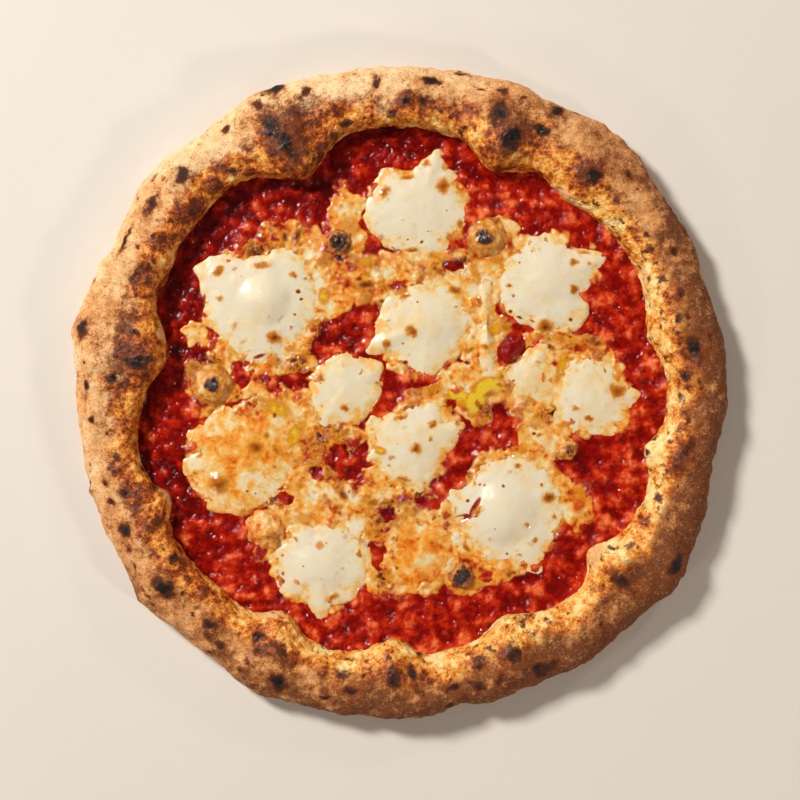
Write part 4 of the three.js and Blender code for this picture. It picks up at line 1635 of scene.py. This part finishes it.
def cheeses() -> list[Cheese]:
    """Lays out the mozzarella, from the upper left round to the bottom.

    Returns:
        The pieces.
    """
    return [
        Cheese("mozzarella_1", -70, 46, 30, 29.5, 0, (
            (82, 12, -12), (104, 14, -13), (128, 12, -4), (154, 7, 3.5), (185, 16, -5.5),
            (220, 18, -5.5), (266, 14, 2.5)), marks={
            Kind.GOLD: dabs((-88, 59, 4, 2.5, 30, .8), (-61, 27, 4, 3.2, 0, 1.2),
                            (-52, 57, 2.6, 2.2, 0, .7), (-46, 55, 2, 1.6, 0, .7),
                            (-63, 37, 1.2, 1.2, 0, .5), (-87, 46, 2.2, 1.8, 0, .6),
                            (-67, 62, 6, 2.5, 5, .9), (-80, 33, 4, 3, 60, .5), (-76, 25, 4, 2, 40, .5),
                            (-53, 31, 1.4, .9, 30, .7)),
            Kind.DARK: dabs((-49.5, 49, 1.1), (-48, 45.5, .7), (-51, 38, .6), (-53, 32, .7, .5, 0, .7)),
            Kind.RED: dabs((-68, 18, 3.5, 1, 20, .8), (-80, 60, 2, 1, 30, .5)),
            Kind.DOME: dabs((-66, 45, 14, 13, 0, 2.8))}),
        Cheese("mozzarella_2", 8, 90, 24, 23.5, 0, (
            (10, 14, -1.5), (68, 8, 6), (108, 15, -9), (192, 12, 3)), marks={
            Kind.GOLD: dabs((20, 100, 4.6, 3.8, 70), (-8, 97, 2.6, 4, 160), (5, 69, 4.6, 2, 0, .9),
                            (24, 75, 3.4, 3, 0, .9), (28, 82, 2.6, 3, 0, .7), (12, 111, 3, 3, 0, .7),
                            (3, 104, 5, 2, 5, .9), (1, 83.5, 1.2, 1.2, 0, .6), (6, 82, 2, .9, 0, .4)),
            Kind.DARK: dabs((10, 73, .8), (-4, 70, .6), (3, 74, .5), (13, 78, .4), (22, 88, .4)),
            Kind.RED: dabs((-10, 75, 2.6, 2, 30, .5))}),
        Cheese("mozzarella_3", 72, 54, 24, 24, 0, (
            (25, 9, 6), (60, 16, -5), (218, 24, 3.5), (262, 10, 3), (298, 8, 3.5),
            (345, 20, -7)), marks={
            Kind.GOLD: dabs((83, 63, 2.5, 2.4, 0, .9), (90, 62.5, 2, 2, 0, .6),
                            (83, 50, 2.8, 2.6, 0, .9), (69, 32, 4.6, 3.8, 20, 1.2),
                            (66, 70, 3, 1.4, 15, .4), (88, 68, 5, 1.6, 170, .7),
                            (52, 52, 1.4, 1.2, 0, .9), (63, 78, 2.5, 1.5, 0, .4)),
            Kind.DARK: dabs((69, 31.5, 2, 1.5, 0, .7), (52, 52, .9, .9, 0, .7), (48, 58, .9, .9, 0, .9),
                            (52.6, 39.5, .9), (57, 36.5, 1.8, .6, 165, .9), (63, 35, 1.5, .5, 150, .7),
                            (81.5, 35.5, .8), (57, 63, .5), (54, 47, .5), (63, 68.5, .5)),
            Kind.DOME: dabs((72, 58, 15, 15, 0, 1.0))}),
        Cheese("mozzarella_4", 12, 33, 23, 23, 0, (
            (125, 9, -5), (203, 9, 8), (268, 10, 3.5), (318, 18, -5), (345, 12, -4)), cream=0.9, marks={
            Kind.GOLD: dabs((5, 30, 3.4, 3.2, 0, 1), (-7, 24, 2.8, 2.8, 0, .8),
                            (26, 50, 4.4, 3, 170, 1), (2, 47, 4, 2.6, 20, .8),
                            (26, 42, 1.8, 1.4, 0, .6), (31, 38, 1.6, 1.4, 0, .5),
                            (30, 23, 3.4, .9, 20, .6), (22, 12, 3, 1.6, 30, .8),
                            (6, 22, 1.2, .9, 0, .5), (-6, 35, 1.2, 1, 0, .6), (-8, 30, 1, 2, 0, .5)),
            Kind.DARK: dabs((2, 15, 1.1), (17.5, 7.5, 1, .8), (1, 24, .5), (8, 44, .5)),
            Kind.DOME: dabs((16, 36, 14, 13, 0, .8))}),
        Cheese("mozzarella_5", -27, 2, 17, 16.5, 90, (
            (33, 12, 4), (95, 12, 3.5), (238, 20, 4)), cream=0.9, marks={
            Kind.GOLD: dabs((-19, 10.5, 1.2, 1, 0, .8), (-27, -7, 2.5, 2.2, 0, .9),
                            (-38.5, 8, 2, 3, 0, .9), (-25, 9, 1, .7, 0, .5), (-35, -2, 1.4, 1, 0, .4)),
            Kind.DARK: dabs((-30.5, 20.5, .9), (-33, 21.5, .7), (-36, 20.5, .8))}),
        Cheese("mozzarella_6", 61, 8.5, 13.5, 13, 0, (
            (62, 12, 6.5), (122, 22, -5.5), (240, 16, 1.5),
            (350, 14, -2)), thick=1.4, cream=0.82, marks={
            Kind.GOLD: dabs((51, 1, 1.4), (66, 15, 3, 2, 0, .5), (70, -3.5, 3, 1.4, 10, .8),
                            (51, 12, 4, 1.2, 40, .7)),
            Kind.DARK: dabs((54, 6, .8, .6), (51, 1, .8, .7))}),
        Cheese("mozzarella_7", 92, -1, 19, 19, 0, (
            (0, 10, 3.5), (30, 14, -3.5), (152, 14, -3), (222, 20, 2), (312, 12, 2)), cream=0.9, marks={
            Kind.GOLD: dabs((104, 1.5, 5, 4.4, 0, 1), (90, -12, 2.6, 2, 0, .9),
                            (84, -7, 4, 2.4, 150, .6), (88, 13, 1.2, 1, 0, .7), (93, 15, 1.4, 1, 0, .7),
                            (98, -5, 2, 1.2, 0, .4)),
            Kind.DARK: dabs((104, 1, 2.2, 1.6, 0, .5))}),
        Cheese("mozzarella_8", 6, -24, 20.5, 20.5, 0, (
            (20, 12, 5), (58, 14, 3), (112, 16, -4), (197, 9, 4), (278, 9, 3.5),
            (332, 16, -7)), cream=0.9, marks={
            Kind.GOLD: dabs((15, -15, 2.8, 2.2, 0, .9), (7, -26.5, 3, 3, 0, 1.1),
                            (14, -21.5, 2, 2, 0, .7), (0, -11, 4.4, 1.8, 25, .9),
                            (27, -14, 2.4, 2, 0, .7), (1, -41, 5, 2.4, 160, .8),
                            (-4, -30, 2, 1.6, 0, .6), (17, -39, 3, 1.4, 30, .6),
                            (20, -5, 4, 1, 10, .5)),
            Kind.DARK: dabs((0, -12, 1.4, .7, 20, .5)),
            Kind.OIL: dabs((-10, -27.5, 3.4, 2, 165, 1), (-5, -31, 1.4, 1.4, 0, .8))}),
        Cheese("mozzarella_9", 50, -57, 28, 27.5, 30, (
            (133, 16, -4), (205, 20, -7), (235, 14, -6), (267, 12, -3.5), (300, 9, 4.5)), marks={
            Kind.GOLD: dabs((71, -50, 3.6, 3, 0, 1.1), (73.5, -59.5, 1.6, 2, 0, .9),
                            (60, -63, 1.8, 1.6, 0, .8), (64, -71, 1.8, 2.4, 0, .7),
                            (67.5, -44, 1.4, 1.2, 0, .7), (56, -35, 2.4, 2, 0, .8),
                            (52, -37.5, 1.6, 1.2, 0, .6), (43, -69.5, 1.4, 1.2, 0, .6),
                            (56.5, -78, 2.2, 1, 0, .7), (35, -43, 2, 3, 20, .6), (26, -56, 2, 3, 0, .5),
                            (38, -76, 2, 4, 40, .6), (37, -56, 2, 3.5, 150, .8)),
            Kind.DARK: dabs((49, -44.5, .7), (51, -77, .7), (32, -51.5, .9, .8), (38, -43.7, .6),
                            (40, -44.2, .6), (67.5, -43.5, .6), (36, -59, .8, .5), (45, -65, .4)),
            Kind.RED: dabs((35.5, -54.5, 1.3, 5.5, 150, 1), (29.5, -60, 5, 1.7, 15, 1.1)),
            Kind.PIT: dabs((35.5, -54.5, .9, 4.5, 150, .6), (29.5, -60, 4.5, 1.2, 15, .6)),
            Kind.DOME: dabs((50, -57, 17, 17, 0, 3.2))}),
        Cheese("mozzarella_10", -40, -81, 22.7, 22, 0, (
            (98, 9, -2.5), (150, 10, -5.5), (247, 9, -4), (275, 10, 5), (343, 20, 2.5)), marks={
            Kind.GOLD: dabs((-50, -70, 1.6, 1.4, 0, .9), (-20, -77, 2, 2.6, 0, .8),
                            (-14, -88, 1.8, 2.4, 0, .6), (-33, -98, 3.8, 2.4, 20, .9),
                            (-50, -91, 3, 1.6, 160, .6), (-46, -71, 1.4, 1, 0, .5),
                            (-60, -86, 2, 3, 0, .5)),
            Kind.DARK: dabs((-57, -78, .5), (-47, -83, .4), (-36, -72, .5, .5, 0, .7)),
            Kind.OIL: dabs((-39, -73, 2.2, 2.2, 0, .8), (-27, -69, 1.6, 2, 0, .5),
                           (-28, -84, 1.2, 1, 0, .5)),
            Kind.DOME: dabs((-38, -84, 15, 13, 0, 1.0))}),
        Cheese("mozzarella_11", -77, -31, 26, 26, 0, (
            (50, 16, 1.5), (87, 14, -4), (156, 7, 3.5), (171, 6, -4.5), (192, 9, 1.5),
            (245, 14, 2)), thick=1.4, cream=0.62, rind=0.1, marks={
            Kind.MILK: dabs((-101, -29, 3, 10, 15), (-92, -50, 10, 4, 150), (-97, -42, 4, 5),
                            (-66, -46, 8, 5, 20, 0.8), (-86, -14, 9, 3, 10, 0.8),
                            (-56, -36, 4, 6, 0, 0.7), (-74, -40, 7, 4, 0, 0.7),
                            (-92, -34, 5, 6, 0, 0.7), (-60, -18, 4, 4, 0, 0.6)),
            Kind.AMBER: dabs((-72, -28, 9, 5, 60), (-80, -22, 10, 4, 170, 0.9),
                             (-82, -40, 4, 8, 0, 0.7), (-64, -30, 5, 6, 0, 0.8),
                             (-70, -12, 8, 4, 160, 0.8), (-90, -27, 4, 4, 0, 0.6)),
            Kind.GOLD: dabs((-88, -43, 6.2, 6, 0, .95), (-70, -26, 4.6, 3.6, 0, 1.1),
                            (-65, -20, 2.6, 2.2, 0, .8), (-60, -27, 4, 2.4, 150, .8),
                            (-61, -35, 2, 1.8, 0, .7), (-49.5, -33, 2, 2, 0, .5),
                            (-97, -29, 2, 3.6, 150, .7), (-80, -25, 5, 2, 160, .5),
                            (-99, -38, 2.4, 2, 0, .7), (-88, -21, 6, 2, 150, .5),
                            (-72, -36, 3, 6, 30, .4), (-82, -33, 4, 2, 30, .3)),
            Kind.DARK: dabs((-70.5, -27, 1.4, 1.2, 0, .5), (-74, -47, .6), (-70, -48, .5)),
            Kind.DOME: dabs((-88, -43, 6.5, 6.2, 0, 1.5))}),
        Cheese("mozzarella_12", 64, -19, 10, 5, 155, ((310, 18, 4),), thick=1.2, cream=0.72, marks={
            Kind.GOLD: dabs((66, -20, 2, 1.4, 0, .7), (60, -17, 1.5, 1, 0, .5)),
            Kind.DARK: dabs((64, -19.5, .9, .7))}),
        Cheese("mozzarella_13", 27, 6.5, 7.5, 6, 60, ((0, 30, 1.5),), thick=1.3, cream=0.62, marks={
            Kind.GOLD: dabs((24, 8, 2.5, 2, 0, .7), (31, 4, 1.5, 2, 0, .6)),
            Kind.DARK: dabs((21, 4.5, 1.2, 1), (26, 1.5, 1, .7))}),
        Cheese("mozzarella_14", 41, 33, 25, 5.6, 92, ((230, 25, 1.5),), thick=1.1, cream=0.76, marks={
            Kind.GOLD: dabs((37.5, 45, 2.2, 4.6, 10, 1), (36, 53, 1, 4, 10, .6),
                            (40, 23, 2.4, 2.6, 0, .9), (44, 53, 2, 2, 0, .7)),
            Kind.OIL: dabs((45, 31, 3.5, 4.5, 0, .9))}),
        Cheese("mozzarella_15", 10, -76, 20, 16, 60, (
            (35, 20, -2), (120, 20, 3), (200, 20, -2),
            (330, 18, -3)), thick=1.1, cream=0.55, rind=0.1, marks={
            Kind.MILK: dabs((12, -80, 6, 5), (20, -66, 5, 4, 0, 0.8), (2, -86, 5, 3, 0, 0.8),
                            (22, -86, 4, 4, 0, 0.7), (8, -66, 4, 3, 0, 0.6)),
            Kind.AMBER: dabs((2, -74, 7, 5, 70), (16, -72, 4, 6, 20, 0.9), (10, -90, 8, 3, 0, 0.9),
                             (26, -78, 4, 7, 0, 0.8)),
            Kind.GOLD: dabs((4, -66, 6, 4, 60, .5), (2, -79, 5, 3, 80, .45), (18, -70, 4, 3, 0, .4),
                            (12, -88, 4, 2, 0, .6), (22, -80, 2, 4, 0, .5), (17, -84, 1, 1, 0, .7)),
            Kind.DARK: dabs((19, -86, .8), (-2, -84, .8), (8, -70, .5))}),
    ]


# ------------------------------------------------------------------ blisters and tomato lump


@dataclass
class Blister:
    """A bubble that pushed up through the topping and browned."""

    node: str
    x: float
    y: float
    reach: float
    rise: float
    burnt: float
    spot: tuple[float, float] = (0.0, 0.0)
    spot_size: float = 0.4
    lumpy: float = 1.0
    tan: float = 0.19
    floor: float = 6.0
    seed: int = 1

    def build(self, finish: bpy.types.Material) -> bpy.types.Object:
        """Makes the bubble.

        Args:
            finish: its material.

        Returns:
            The piece.
        """
        bm = bmesh.new()
        bmesh.ops.create_icosphere(bm, subdivisions=6, radius=1.0)
        cut = bmesh.ops.bisect_plane(bm, geom=bm.verts[:] + bm.edges[:] + bm.faces[:],
                                     plane_co=(0, 0, -0.25), plane_no=(0, 0, 1),
                                     clear_inner=True)["geom_cut"]
        rim = [g for g in cut if isinstance(g, bmesh.types.BMEdge)]
        bmesh.ops.edgeloop_fill(bm, edges=rim)
        bmesh.ops.recalc_face_normals(bm, faces=bm.faces)
        mesh = bpy.data.meshes.new(self.node)
        bm.to_mesh(mesh)
        bm.free()
        ball = read_points(mesh)
        grain = Grain(60 + self.seed)
        swell = 1 + self.lumpy * (0.09 * grain.layered(ball, 0.9, 2)
                                  + 0.075 * grain.layered(ball + 9, 0.5, 3))
        place = ball * swell[:, None]
        flare = self.reach * (0.84 + 0.26 * ease(0.45, -0.2, ball[:, 2]))
        points = np.stack([self.x + flare * place[:, 0], self.y + flare * place[:, 1],
                           self.floor + self.rise * (place[:, 2] + 0.25) / 1.25], axis=1)
        away = np.hypot(ball[:, 0] - self.spot[0], ball[:, 1] - self.spot[1]) / self.spot_size
        away *= 1 + 0.35 * grain.layered(ball + 20, 0.8, 3)
        burn = self.burnt / (1 + np.abs(away) ** 4.5)
        burn *= 0.92 + 0.6 * grain.layered(ball + 30, 0.4, 3)
        points[:, 2] += 1.1 * burn * grain.layered(ball, 0.34, 2) * ease(0, 0.4, ball[:, 2])
        write_points(mesh, points)
        skirt = ease(0.45, -0.05, ball[:, 2])
        set_field(mesh, "cream", 0.5 + 0.3 * grain.layered(ball, 0.5, 3) - 0.14 * skirt)
        tan = self.tan + 0.2 * grain.layered(ball + 5, 0.35, 3) + 0.14 * skirt
        set_field(mesh, "brown", np.maximum(burn, tan))
        set_field(mesh, "oil", np.zeros(len(ball)))
        set_field(mesh, "red", 0.2 * skirt)
        return hand_in(mesh, self.node, finish, [self.node])


def blisters() -> list[Blister]:
    """Lays out the bubbles in the topping.

    Returns:
        The bubbles.
    """
    return [
        Blister("blister_1", -30, 73, 6.0, 6.2, 1.2, (0, 0), 0.74, 2.4, 0.26, seed=1),
        Blister("blister_2", 41.5, 75, 9.5, 6.0, 1.15, (-0.15, -0.05), 0.42, 0.9, seed=2),
        Blister("blister_3", -91, 4, 10.0, 6.4, 1.0, (0.05, -0.02), 0.42, 0.9, seed=3),
        Blister("blister_4", 29, -87.5, 6.0, 6.2, 1.2, (0.0, -0.1), 0.72, 2.4, 0.26, seed=4),
        Blister("blister_5", -64.5, -65.5, 9.2, 5.0, 0.3, (0.5, -0.5), 0.5, 1.8, 0.06, seed=5),
        Blister("blister_6", 79.5, -26, 5.5, 3.9, 0.6, (0.3, -0.2), 0.5, 1.6, 0.16, seed=6),
    ]


@dataclass
class TomatoLump:
    """The lump of tomato that stands above the cheese."""

    x: float = 52.8
    y: float = 21.9
    long: float = 8.4
    wide: float = 5.8
    turn: float = 62.0
    floor: float = 6.0
    rise: float = 5.0

    def build(self, finish: bpy.types.Material) -> bpy.types.Object:
        """Makes the lump.

        Args:
            finish: its material.

        Returns:
            The piece.
        """
        bm = bmesh.new()
        bmesh.ops.create_icosphere(bm, subdivisions=5, radius=1.0)
        mesh = bpy.data.meshes.new("tomato_lump")
        bm.to_mesh(mesh)
        bm.free()
        ball, grain = read_points(mesh), Grain(71)
        swell = 1 + 0.16 * grain.layered(ball, 0.9, 3) + 0.03 * grain.at(ball, 0.2)
        place = ball * swell[:, None]
        turn = math.radians(self.turn)
        along, across = place[:, 0] * self.long, place[:, 1] * self.wide
        points = np.stack([self.x + along * math.cos(turn) - across * math.sin(turn),
                           self.y + along * math.sin(turn) + across * math.cos(turn),
                           self.floor + np.clip(place[:, 2], -0.15, None) * self.rise], axis=1)
        write_points(mesh, points)
        set_field(mesh, "pulp", 0.34 + 0.2 * grain.layered(ball, 0.5, 2))
        set_field(mesh, "stain", np.zeros(len(ball)))
        return hand_in(mesh, "tomato_lump_flesh", finish, ["tomato_lump"])


# ------------------------------------------------------------------------------- the studio


@dataclass
class Studio:
    """The table, the lights and the camera."""

    distance: float = 0.91
    lens: float = 84.4
    middle: tuple[float, float] = (-0.0005, -0.0031)
    key: float = 43.5
    fill: float = 0.13

    def build(self) -> None:
        """Sets the scene up."""
        bm = bmesh.new()
        bmesh.ops.create_grid(bm, x_segments=2, y_segments=2, size=1.6)
        mesh = bpy.data.meshes.new("table")
        bm.to_mesh(mesh)
        bm.free()
        mesh.materials.append(TableFinish().make())
        table = bpy.data.objects.new("table", mesh)
        bpy.context.scene.collection.objects.link(table)
        self._light("key", (-1.17, 0.96, 1.4), 0.36, self.key, tint("FFFBF4"))
        self._light("kicker", (0.9, -0.7, 0.7), 0.14, self.key * 0.09, tint("FFE9D2"))
        self._light("side", (0.8, 0.9, 0.7), 0.14, self.key * 0.04, tint("FFEFDE"))
        self._light("other_side", (-0.8, -0.9, 0.7), 0.14, self.key * 0.04, tint("FFEFDE"))
        world = bpy.data.worlds.new("studio")
        world.use_nodes = True
        world.node_tree.nodes["Background"].inputs["Color"].default_value = tint("F4F1EC")
        world.node_tree.nodes["Background"].inputs["Strength"].default_value = self.fill
        bpy.context.scene.world = world
        camera = bpy.data.cameras.new("camera")
        camera.lens = self.lens
        camera.sensor_width = 36
        holder = bpy.data.objects.new("camera", camera)
        holder.location = (*self.middle, self.distance)
        bpy.context.scene.collection.objects.link(holder)
        bpy.context.scene.camera = holder
        bpy.context.scene.view_settings.view_transform = "Standard"

    @staticmethod
    def _light(name: str, place: tuple[float, float, float], size: float, power: float,
               colour: Colour) -> None:
        """Hangs a soft square lamp that points at the middle of the pizza.

        Args:
            name: its name.
            place: where it hangs, in metres.
            size: its width, in metres.
            power: its strength, in watts.
            colour: its colour.
        """
        lamp = bpy.data.lights.new(name, "AREA")
        lamp.shape, lamp.size, lamp.energy, lamp.color = "SQUARE", size, power, colour[:3]
        holder = bpy.data.objects.new(name, lamp)
        from_middle = np.array(place)
        away = from_middle / np.linalg.norm(from_middle)
        holder.location = place
        holder.rotation_euler = (math.acos(away[2]), 0, math.atan2(away[1], away[0]) + math.pi / 2)
        bpy.context.scene.collection.objects.link(holder)


def main() -> None:
    """Builds the pizza piece by piece."""
    logging.basicConfig(level=logging.INFO, format="%(message)s")
    Studio().build()
    rim = Rim()
    rim.build(CrustFinish().make())
    spread = Spread(rim)
    sauce = SauceFinish().make()
    Sauce(spread).build(sauce)
    pieces = cheeses()
    Film(spread).build(MeltFinish("melted_film", 0.62, 0.22, 0.15, 0.16, 0.85, 2.0, 0.8).make(), pieces)
    curd = MeltFinish("mozzarella", 0.2, 0.3, 0.4, 0.12).make()
    mottled = MeltFinish("browned_mozzarella", 0.6, 0.24, 0.25, 0.14, 0.3).make()
    for cheese in pieces:
        cheese.build(mottled if cheese.cream < 0.8 else curd, spread)
    skin = MeltFinish("blistered_skin", 0.45, 0.26, 0.1, 0.45, 1.1, 1.7, 0.9).make()
    for blister in blisters():
        blister.build(skin)
    TomatoLump().build(sauce)


if __name__ == "__main__":
    main()
